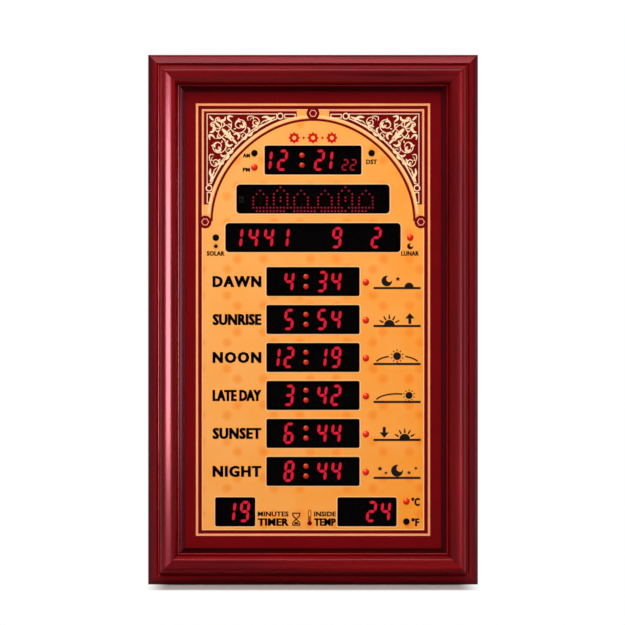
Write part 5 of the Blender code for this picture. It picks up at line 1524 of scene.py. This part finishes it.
class CLOCK_OT_pictograms(bpy.types.Operator):
    """Print the sun and moon signs, the hourglass, the thermometer and the red stars"""

    bl_idname = "clock.pictograms"
    bl_label = "Pictograms"

    def execute(self, context):
        ink = sizes().ink
        black = ink_of("black_ink")
        parts = []
        paths = []
        for row in ROWS:
            base = node_centre(f"row_display_{row}")[1] - SIGN_DROP
            middle = base + SIGN_DROP * 0.95
            loops = [rectangle(SIGN_X, base, 2 * SIGN_HALF_WIDTH, SIGN_BAR)]
            if row == 1:
                loops += half_sun(SIGN_X + 14 * MM, base, 7.4 * MM, False)
                loops += [crescent(SIGN_X - 12 * MM, middle + 1.0 * MM, 6.2 * MM)]
                loops += [star(SIGN_X + 1.0 * MM, middle + 3.4 * MM, 3.2 * MM, 1.4 * MM, 5, STAR_TURN)]
            elif row in (2, 5):
                way = 1 if row == 2 else -1
                loops += half_sun(SIGN_X - 9 * MM * way, base, 8.6 * MM, True)
                loops += arrow(SIGN_X + 15 * MM * way, middle + 1.6 * MM, 6.4 * MM, way)
            elif row == 3:
                loops += sun_loops(SIGN_X, middle + 2.0 * MM, 4.6 * MM)
                paths.append(even(day_arch(base, 18, 68), SIGN_LINE))
                paths.append(even(day_arch(base, 112, 162), SIGN_LINE))
            elif row == 4:
                loops += sun_loops(SIGN_X + 14.0 * MM, middle + 0.4 * MM, 4.2 * MM)
                paths.append(even(day_arch(base, 18, 104), SIGN_LINE))
            else:
                loops += [crescent(SIGN_X, middle + 1.2 * MM, 7.0 * MM)]
                for x, rise, radius in ((-20, 3.6, 3.4), (-13, -1.4, 2.4), (14, -1.0, 2.8), (22, 4.0, 2.4)):
                    loops.append(star(
                        SIGN_X + x * MM, middle + rise * MM, radius * MM, radius * 0.42 * MM, 5, STAR_TURN
                    ))
            parts.append(plate(loops, FILM_FRONT, FILM_FRONT + ink))
        parts.append(strokes(paths, FILM_FRONT + ink * 0.3, 0.06))
        for node, kind in (("solar_calendar_led", "sun"), ("lunar_calendar_led", "moon")):
            x, z = node_centre(node)
            if kind == "sun":
                loops = sun_loops(x, z - 10.2 * MM, 2.3 * MM, 8)
            else:
                loops = [crescent(x, z - 10.2 * MM, 3.6 * MM)]
            parts.append(plate(loops, FILM_FRONT, FILM_FRONT + ink))
        _, z = node_centre("countdown_display")
        glass_x = -19.6 * MM
        glass_z = z - 8.6 * MM
        glass = [
            rectangle(glass_x, glass_z + 7.0 * MM, 9.6 * MM, 1.4 * MM),
            rectangle(glass_x, glass_z - 7.0 * MM, 9.6 * MM, 1.4 * MM),
            [
                (glass_x - 3.0 * MM, glass_z - 5.9 * MM), (glass_x + 3.0 * MM, glass_z - 5.9 * MM),
                (glass_x + 1.4 * MM, glass_z - 3.2 * MM), (glass_x - 1.4 * MM, glass_z - 3.2 * MM),
            ],
        ]
        parts.append(plate(glass, FILM_FRONT, FILM_FRONT + ink))
        bulbs = []
        for sign in (1, -1):
            side = [
                (sign * 4.0, 6.6), (sign * 3.8, 4.0), (sign * 0.6, 0.6), (sign * 0.6, -0.6),
                (sign * 3.8, -4.0), (sign * 4.0, -6.6),
            ]
            points = [(glass_x + a * MM, glass_z + b * MM) for a, b in smooth_line(side, 5)]
            bulbs.append(even(points, SIGN_LINE * 0.8))
        parts.append(strokes(bulbs, FILM_FRONT + ink * 0.3, 0.1))
        finish_piece(joined(parts), "black_signs", black)

        stem_x = -4.0 * MM
        stem = [
            even([(stem_x - 1.5 * MM, z - 11 * MM), (stem_x - 1.5 * MM, z + 0.5 * MM)]
                 + arc(stem_x, z + 0.5 * MM, 1.5 * MM, 180, 0, 10)
                 + [(stem_x + 1.5 * MM, z - 11 * MM)], 0.4 * MM),
            even([(stem_x, z - 12 * MM), (stem_x, z - 5.0 * MM)], 0.7 * MM),
        ]
        red = ink_of("bright_red_ink")
        bulb = plate([disc(stem_x, z - 13.4 * MM, 2.7 * MM, 28)], FILM_FRONT, FILM_FRONT + ink)
        thermometer = joined([bulb, strokes(stem, FILM_FRONT + ink * 0.3, 0.1)])
        ground = ink_of("dark_red_ink")
        finish_piece(thermometer, "thermometer_sign", ground)

        time_z = node_centre("time_display")[1]
        row_z = time_z + RED_STAR_RISE
        stars = []
        for x in (-22 * MM, 0, 22 * MM):
            stars += [star(x, row_z, 7.0 * MM, 5.1 * MM, 8), disc(x, row_z, 2.4 * MM, 24)]
        for x in (-11 * MM, 11 * MM):
            stars.append(star(x, row_z, 2.2 * MM, 1.1 * MM, 4))
        finish_piece(plate(stars, FILM_FRONT, FILM_FRONT + ink), "red_stars", red)
        return {"FINISHED"}


# Digits


def lens(x0, z0, x1, z1, stroke):
    """Bar from one point to another with pointed ends and slightly bowed sides."""
    run = Vector((x1 - x0, z1 - z0))
    along = run.normalized()
    across = Vector((-along.y, along.x)) * stroke / 2
    start = Vector((x0, z0))
    outline = []
    shares = ((0.0, 0.0), (0.1, 0.62), (0.24, 0.92), (0.5, 1.0), (0.76, 0.92), (0.9, 0.62), (1.0, 0.0))
    for share, width in shares:
        outline.append(start + run * share + across * width)
    for share, width in shares[-2:0:-1]:
        outline.append(start + run * share - across * width)
    return [(point.x, point.y) for point in outline]


def digit_loops(symbol, x, z, width, height, stroke):
    """Lit segments of one slanted digit."""
    half_w = width / 2 - stroke / 2
    half_h = height / 2 - stroke / 2
    reach = stroke * 0.16
    ends = {
        "a": (-half_w + reach, half_h, half_w - reach, half_h),
        "g": (-half_w + reach, 0, half_w - reach, 0),
        "d": (-half_w + reach, -half_h, half_w - reach, -half_h),
        "f": (-half_w, half_h - reach, -half_w, reach),
        "b": (half_w, half_h - reach, half_w, reach),
        "e": (-half_w, -reach, -half_w, -half_h + reach),
        "c": (half_w, -reach, half_w, -half_h + reach),
    }
    slant = math.tan(DIGIT_SLANT)
    loops = []
    for segment in SEGMENTS_OF.get(symbol, ""):
        outline = lens(*ends[segment], stroke)
        loops.append([(x + a + b * slant, z + b) for a, b in outline])
    return loops


def digits(text, centre, z, pitch, width=DIGIT_WIDTH, height=DIGIT_HEIGHT, stroke=DIGIT_STROKE):
    """Lit segments of a run of digits about its centre; a space is a dark digit."""
    loops = []
    for index, symbol in enumerate(text):
        x = centre + pitch * (index - (len(text) - 1) / 2)
        loops += digit_loops(symbol, x, z, width, height, stroke)
    return loops


def colon_pair(name, x, z):
    """Two lit domes of a colon."""
    domes = []
    profile = [(0, -0.3 * MM), (COLON_RADIUS, -0.3 * MM), (COLON_RADIUS, 0)]
    for step in range(1, 9):
        angle = math.pi / 2 * step / 8
        profile.append((COLON_RADIUS * math.cos(angle), COLON_HEIGHT * math.sin(angle)))
    for sign in (1, -1):
        domes.append(lathe(profile, 32, x, DISPLAY_FRONT, z + sign * COLON_RISE))
    material = dome_glow("colon_glow", (0.95, 0.045, 0.02, 1.0), (1.0, 0.5, 0.16, 1.0), 1.5)
    return finish_piece(joined(domes), name, material, angle=60)


ROW_TIMES = (" 434", " 554", "1219", " 342", " 644", " 844")
HOURS_X = -35.75 * MM
TIME_COLON_X = -12.9 * MM
MINUTES_X = 16.6 * MM
SECONDS_X = 42.3 * MM
SECONDS_DROP = 5.4 * MM
ROW_HOURS_X = -36.3 * MM
ROW_COLON_X = -8.2 * MM
ROW_MINUTES_X = 18.7 * MM
DATE_RUNS = (
    ("year_digits", "1441", -61.0 * MM), ("month_digits", " 9", 18.9 * MM), ("day_digits", " 2", 65.1 * MM),
)
BOTTOM_RUNS = (("countdown_digits", "19", -88.4 * MM), ("temperature_digits", " 24", 68.6 * MM))


class CLOCK_OT_lit_digits(bpy.types.Operator):
    """Light the digits and colons of every display"""

    bl_idname = "clock.lit_digits"
    bl_label = "Lit digits"

    def execute(self, context):
        red = glow("digit_glow", tuple(colours().lit), 1.7)
        dim = glow("seconds_glow", shade(tuple(colours().lit), 0.55), 1.6)
        front = DIGIT_FRONT + LIT_RELIEF
        back = DIGIT_FRONT - LIT_SINK

        _, z = node_centre("year_display")
        time_z = node_centre("time_display")[1]
        loops = digits("2", HOURS_X, time_z, TIME_PITCH)
        loops += digits("1", HOURS_X - TIME_PITCH, time_z, TIME_PITCH)
        loops += digits("2l", MINUTES_X, time_z, TIME_PITCH)
        finish_piece(plate(loops, back, front), "time_digits", red)
        loops = digits(
            "22", SECONDS_X, time_z - SECONDS_DROP, SECONDS_PITCH,
            SMALL_DIGIT_WIDTH, SMALL_DIGIT_HEIGHT, SMALL_DIGIT_STROKE,
        )
        finish_piece(plate(loops, back, front), "seconds_digits", dim)
        colon_pair("time_colon", TIME_COLON_X, time_z)

        for name, text, x in DATE_RUNS:
            finish_piece(plate(digits(text, x, z, TIME_PITCH), back, front), name, red)

        for row, text in zip(ROWS, ROW_TIMES):
            _, row_z = node_centre(f"row_display_{row}")
            loops = digits(text[:2], ROW_HOURS_X, row_z, ROW_PITCH)
            loops += digits(text[2:], ROW_MINUTES_X, row_z, ROW_PITCH)
            finish_piece(plate(loops, back, front), f"row_digits_{row}", red)
            colon_pair(f"row_colon_{row}", ROW_COLON_X, row_z)

        _, low_z = node_centre("countdown_display")
        for name, text, x in BOTTOM_RUNS:
            finish_piece(plate(digits(text, x, low_z, ROW_PITCH), back, front), name, red)
        return {"FINISHED"}


# A running ornament of arcades on a base line, in the matrix's own dots
MESSAGE_ROWS = (
    "..........#..................#..........",
    "....#....#.#....#......#....#.#....#....",
    "...#.#..#...#..#.#....#.#..#...#..#.#...",
    "..#...#.#.#.#.#...#..#...#.#.#.#.#...#..",
    "..#...#.#.#.#.#...#..#...#.#.#.#.#...#..",
    "..#...#.#...#.#...#..#...#.#...#.#...#..",
    "..###########################.########..",
    "...#########..#######.########.#####....",
)


class CLOCK_OT_message(bpy.types.Operator):
    """Light the dots of the message display and set in the dark ones"""

    bl_idname = "clock.message"
    bl_label = "Message"

    def execute(self, context):
        centre_x, centre_z = node_centre("message_display")
        lit = []
        dark = []
        for row, line in enumerate(MESSAGE_ROWS):
            for column, mark in enumerate(line):
                x = centre_x + DOT_PITCH * (column - (len(line) - 1) / 2)
                z = centre_z - DOT_PITCH * (row - (len(MESSAGE_ROWS) - 1) / 2)
                (lit if mark == "#" else dark).append(disc(x, z, DOT_RADIUS, 12))
        front = DISPLAY_FRONT + DOT_RELIEF
        glowing = glow("dot_glow", (0.62, 0.012, 0.05, 1.0), 1.3)
        finish_piece(plate(lit, DISPLAY_FRONT - LIT_SINK, front), "message_dots", glowing)
        off = plain_finish("dark_dot", (0.006, 0.002, 0.002), 0.5, 300, specular=0.05)
        finish_piece(plate(dark, DISPLAY_FRONT - LIT_SINK, front), "dark_dots", off)
        return {"FINISHED"}


class CLOCK_OT_lamps(bpy.types.Operator):
    """Build the domed indicator lamps, lit and dark"""

    bl_idname = "clock.lamps"
    bl_label = "Lamps"

    def execute(self, context):
        lit = dome_glow("lamp_glow", (0.78, 0.018, 0.006, 1.0), (1.0, 0.3, 0.16, 1.0), 0.95)
        dark = plain_finish("dark_lamp", (0.004, 0.002, 0.002), 0.3, 90, specular=0.035)
        back = -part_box("am_led")[1].y
        length = FILM_FRONT + LAMP_PROUD - back
        flange = LAMP_SPACER_HEIGHT + LAMP_FLANGE_HEIGHT
        profile = [
            (0, 0), (LAMP_SPACER_RADIUS, 0), (LAMP_SPACER_RADIUS, LAMP_SPACER_HEIGHT),
            (LAMP_FLANGE_RADIUS, LAMP_SPACER_HEIGHT), (LAMP_FLANGE_RADIUS, flange), (LAMP_RADIUS, flange),
        ]
        for step in range(11):
            angle = math.pi / 2 * step / 10
            rise = length - LAMP_RADIUS + LAMP_RADIUS * math.sin(angle)
            profile.append((LAMP_RADIUS * math.cos(angle), rise))
        for names, material in ((LIT_LAMPS, lit), (DARK_LAMPS, dark)):
            for node in names:
                x, z = node_centre(node)
                lamp = lathe(profile, sizes().lamp_steps, x, back, z)
                finish_piece(lamp, node.replace("_led", "_lamp"), material, angle=50)
                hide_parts(node)
        return {"FINISHED"}


KNOB_MARK_RADIUS = 12.0 * MM


class CLOCK_OT_back_marks(bpy.types.Operator):
    """Print the signs beside the keys and round the knob on the back cover"""

    bl_idname = "clock.back_marks"
    bl_label = "Back marks"

    def execute(self, context):
        white = ink_of("white_ink")
        cover_back = -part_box("back_cover")[1].y
        loops = []
        _, key_z = node_centre("menu_key")
        sign_z = key_z + 10.5 * MM
        for node in ("menu_key", "up_key", "down_key", "enter_key", "silence_key"):
            x, _ = node_centre(node)
            if node == "menu_key":
                loops += [rectangle(x, sign_z + rise * MM, 5.2 * MM, 0.9 * MM) for rise in (-1.9, 0, 1.9)]
            elif node in ("up_key", "down_key"):
                way = 1 if node == "up_key" else -1
                loops.append([
                    (x - 2.8 * MM, sign_z - way * 2.0 * MM), (x + 2.8 * MM, sign_z - way * 2.0 * MM),
                    (x, sign_z + way * 2.6 * MM),
                ])
            elif node == "enter_key":
                loops += [disc(x, sign_z, 2.8 * MM), disc(x, sign_z, 1.9 * MM)]
            else:
                loops += [
                    rectangle(x - 1.4 * MM, sign_z, 1.2 * MM, 5.0 * MM),
                    rectangle(x + 1.4 * MM, sign_z, 1.2 * MM, 5.0 * MM),
                ]
        knob_x, knob_z = node_centre("volume_knob")
        for step in range(11):
            angle = math.radians(230 - 28 * step)
            radius = (0.45 + 0.05 * step) * MM
            x = knob_x + KNOB_MARK_RADIUS * math.cos(angle)
            z = knob_z + KNOB_MARK_RADIUS * math.sin(angle)
            loops.append(disc(x, z, radius, 16))
        signs = plate(loops, cover_back - sizes().ink, cover_back)
        finish_piece(signs, "back_signs", white)
        return {"FINISHED"}


class CLOCK_OT_finishes(bpy.types.Operator):
    """Give every part that keeps its own shape its finish"""

    bl_idname = "clock.finishes"
    bl_label = "Finishes"

    def execute(self, context):
        finishes = {
            "frame_wood": wood("rail", (0, 0, 0)),
            "printed_film": ink_of("cream_ink"),
            "smoked_pane": smoked_pane(),
            "display_block": plain_finish("display_black", (0.002, 0.0012, 0.0012), 0.5, 120, specular=0.03),
            "lamp_body": plain_finish("dark_lamp", (0.004, 0.002, 0.002), 0.3, 90, specular=0.035),
            "circuit_board": plain_finish("green_board", (0.012, 0.11, 0.035), 0.35, 180, bump=0.2),
            "cover_board": plain_finish("cover_board", (0.016, 0.016, 0.017), 0.55, 70, bump=0.5),
            "black_plastic": plain_finish("black_plastic", (0.015, 0.015, 0.016), 0.42, 160, bump=0.25),
            "grey_plastic": plain_finish("grey_plastic", (0.25, 0.25, 0.26), 0.45, 160, bump=0.2),
            "plated_steel": plain_finish(
                "plated_steel", (0.55, 0.55, 0.56), 0.3, 240, metallic=1.0, bump=0.15
            ),
            "ferrite": plain_finish("ferrite", (0.05, 0.05, 0.055), 0.5, 200, bump=0.3),
            "speaker_paper": plain_finish("speaker_paper", (0.02, 0.02, 0.02), 0.75, 320, bump=0.6),
        }
        masked = plain_finish("black_mask", (0.002, 0.0015, 0.0015), 0.5, 180, specular=0.03)
        for part in frame["record"]["subparts"]:
            node = frame["nodes"][part["node"]]
            if node.hide_render:
                continue
            finish = masked if part["node"] == "display_board" else finishes[part["material_slot"]]
            for slot in node.material_slots:
                slot.material = finish
        return {"FINISHED"}


# Stage


def area_light(name, size, power, location, target, colour=(1, 1, 1)):
    """Rectangular soft light that the camera doesn't see."""
    deselect()
    bpy.ops.object.light_add(type="AREA", location=location)
    light = bpy.context.object
    light.name = name
    light.data.shape = "RECTANGLE"
    light.data.size = size[0]
    light.data.size_y = size[1]
    light.data.energy = power
    light.data.color = colour
    light.rotation_euler = (Vector(target) - Vector(location)).to_track_quat("-Z", "Y").to_euler()
    light.visible_camera = False
    return light


def flagged(light, names):
    """Let a light show only as a reflection in these pieces, as flags round a studio lamp would."""
    light.visible_diffuse = False
    receivers = bpy.data.collections.new(f"{light.name}_receivers")
    for name in names:
        receivers.objects.link(bpy.data.objects[name])
    light.light_linking.receiver_collection = receivers


def stage_material(name, colour, painted_shadow_patch):
    """Paper that is white to the camera and plain paper to the light that falls on it. With the shadow patch,
    the camera sees the grey floor paper near the object, as painted shadow over the real shadow.
    """
    material, tree, shader = material_shell(name)
    vector = object_vector(tree)
    clouds = placed_group(tree, "soft_clouds", cloud_group, vector, Size=3.0, Strength=0.5)
    mixed = mix_colour(tree, clouds["Mask"], shade(colour, 0.99), shade(colour, 1.0))
    tree.links.new(mixed, shader.inputs["Base Color"])
    shader.inputs["Roughness"].default_value = 0.9
    shader.inputs["Specular IOR Level"].default_value = 0.1
    path = add_node(tree, "ShaderNodeLightPath")
    seen = math_node(tree, "MAXIMUM", path.outputs["Is Camera Ray"], path.outputs["Is Glossy Ray"])
    seen = math_node(tree, "MAXIMUM", seen, path.outputs["Is Transmission Ray"])
    # Painted shadow: near the object the camera sees the darker floor paper, which deepens the real shadow
    # there.
    if painted_shadow_patch:
        parts = add_node(tree, "ShaderNodeSeparateXYZ")
        tree.links.new(vector, parts.inputs[0])
        beside = math_node(tree, "ABSOLUTE", parts.outputs["X"])
        beside = math_node(tree, "SUBTRACT", beside, SHADOW_HALF_WIDTH)
        beside = math_node(tree, "MAXIMUM", beside, 0.0)
        ahead = math_node(tree, "ABSOLUTE", parts.outputs["Y"])
        ahead = math_node(tree, "SUBTRACT", ahead, SHADOW_HALF_DEPTH)
        ahead = math_node(tree, "MAXIMUM", ahead, 0.0)
        squares = math_node(tree, "MULTIPLY_ADD", beside, beside, math_node(tree, "MULTIPLY", ahead, ahead))
        away = add_node(tree, "ShaderNodeMapRange", interpolation_type="SMOOTHSTEP")
        away.inputs["From Max"].default_value = SHADOW_FADE
        tree.links.new(math_node(tree, "SQRT", squares), away.inputs["Value"])
        seen = math_node(tree, "MULTIPLY", seen, away.outputs[0])
    light = add_node(tree, "ShaderNodeEmission")
    light.inputs["Color"].default_value = (1.0, 1.0, 1.0, 1.0)
    light.inputs["Strength"].default_value = 1.0
    mixer = add_node(tree, "ShaderNodeMixShader")
    tree.links.new(seen, mixer.inputs[0])
    tree.links.new(shader.outputs[0], mixer.inputs[1])
    tree.links.new(light.outputs[0], mixer.inputs[2])
    out = tree.nodes["Material Output"]
    tree.links.new(mixer.outputs[0], out.inputs["Surface"])
    return material


class CLOCK_OT_stage(bpy.types.Operator):
    """Set up the pale floor, the backdrop, the lights and the camera"""

    bl_idname = "clock.stage"
    bl_label = "Stage"

    def execute(self, context):
        scene = context.scene
        floor_z = FACE_Z - FRAME_HALF_HEIGHT
        deselect()
        bpy.ops.mesh.primitive_plane_add(size=1, location=(0, 0, floor_z))
        floor = context.object
        floor.name = "floor"
        floor.scale = (FLOOR_WIDTH, FLOOR_WIDTH, 1)
        bpy.ops.object.transform_apply(location=True, rotation=True, scale=True)
        floor.data.materials.append(stage_material("floor_paper", FLOOR_COLOUR, True))
        deselect()
        bpy.ops.mesh.primitive_plane_add(size=1, location=BACKDROP_PLACE, rotation=(math.pi / 2, 0, 0))
        backdrop = context.object
        backdrop.name = "backdrop"
        backdrop.scale = (FLOOR_WIDTH, BACKDROP_HEIGHT, 1)
        bpy.ops.object.transform_apply(location=True, rotation=True, scale=True)
        backdrop.data.materials.append(stage_material("backdrop_paper", BACKDROP_COLOUR, False))

        world = scene.world or bpy.data.worlds.new("studio")
        scene.world = world
        world.use_nodes = True
        sky = world.node_tree.nodes["Background"]
        sky.inputs["Color"].default_value = (1.0, 1.0, 1.0, 1.0)
        sky.inputs["Strength"].default_value = SKY_STRENGTH

        middle = (0, 0, FACE_Z)
        key = area_light("key", *KEY_LIGHT, middle)
        key.visible_glossy = False
        fill = area_light("fill", *FILL_LIGHT, middle)
        fill.visible_glossy = False
        area_light("top", *TOP_LIGHT, middle)
        left = area_light("left_strip", *LEFT_STRIP, LEFT_STRIP_COLOUR)
        flagged(left, ("left_stile_moulding",))
        right = area_light("right_strip", *RIGHT_STRIP)
        flagged(right, ("right_stile_moulding",))

        deselect()
        place = (-CAMERA_LEFT, -CAMERA_DISTANCE, FACE_Z + CAMERA_RISE)
        bpy.ops.object.camera_add(location=place, rotation=(math.pi / 2, 0, 0))
        camera = context.object
        camera.name = "camera"
        camera.data.sensor_width = SENSOR_WIDTH
        camera.data.lens = CAMERA_LENS
        camera.data.dof.use_dof = False
        scene.camera = camera
        scene.view_settings.view_transform = "Standard"
        return {"FINISHED"}


OPERATORS = (
    CLOCK_OT_frame_moulding,
    CLOCK_OT_face_sheet,
    CLOCK_OT_face_border,
    CLOCK_OT_arch,
    CLOCK_OT_scrollwork,
    CLOCK_OT_labels,
    CLOCK_OT_pictograms,
    CLOCK_OT_lit_digits,
    CLOCK_OT_message,
    CLOCK_OT_lamps,
    CLOCK_OT_back_marks,
    CLOCK_OT_finishes,
    CLOCK_OT_stage,
)


class CLOCK_PT_panel(bpy.types.Panel):
    """Lists the steps that build the clock"""

    bl_label = "Clock"
    bl_idname = "CLOCK_PT_panel"
    bl_space_type = "VIEW_3D"
    bl_region_type = "UI"
    bl_category = "Clock"

    def draw(self, context):
        layout = self.layout
        for name in ("torus_power", "ink", "scroll_width", "lamp_steps"):
            layout.prop(context.scene.clock_sizes, name)
        for name in ("wood", "wood_dark", "field", "ground", "lit"):
            layout.prop(context.scene.clock_colours, name)
        for operator in OPERATORS:
            layout.operator(operator.bl_idname)


CLASSES = (ClockSizes, ClockColours) + OPERATORS + (CLOCK_PT_panel,)


def register():
    for item in CLASSES:
        bpy.utils.register_class(item)
    bpy.types.Scene.clock_sizes = PointerProperty(type=ClockSizes)
    bpy.types.Scene.clock_colours = PointerProperty(type=ClockColours)


def unregister():
    del bpy.types.Scene.clock_sizes
    del bpy.types.Scene.clock_colours
    for item in reversed(CLASSES):
        bpy.utils.unregister_class(item)


def main():
    """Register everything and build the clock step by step."""
    register()
    for operator in OPERATORS:
        group, name = operator.bl_idname.split(".")
        getattr(getattr(bpy.ops, group), name)()
    deselect()


if __name__ == "__main__":
    main()
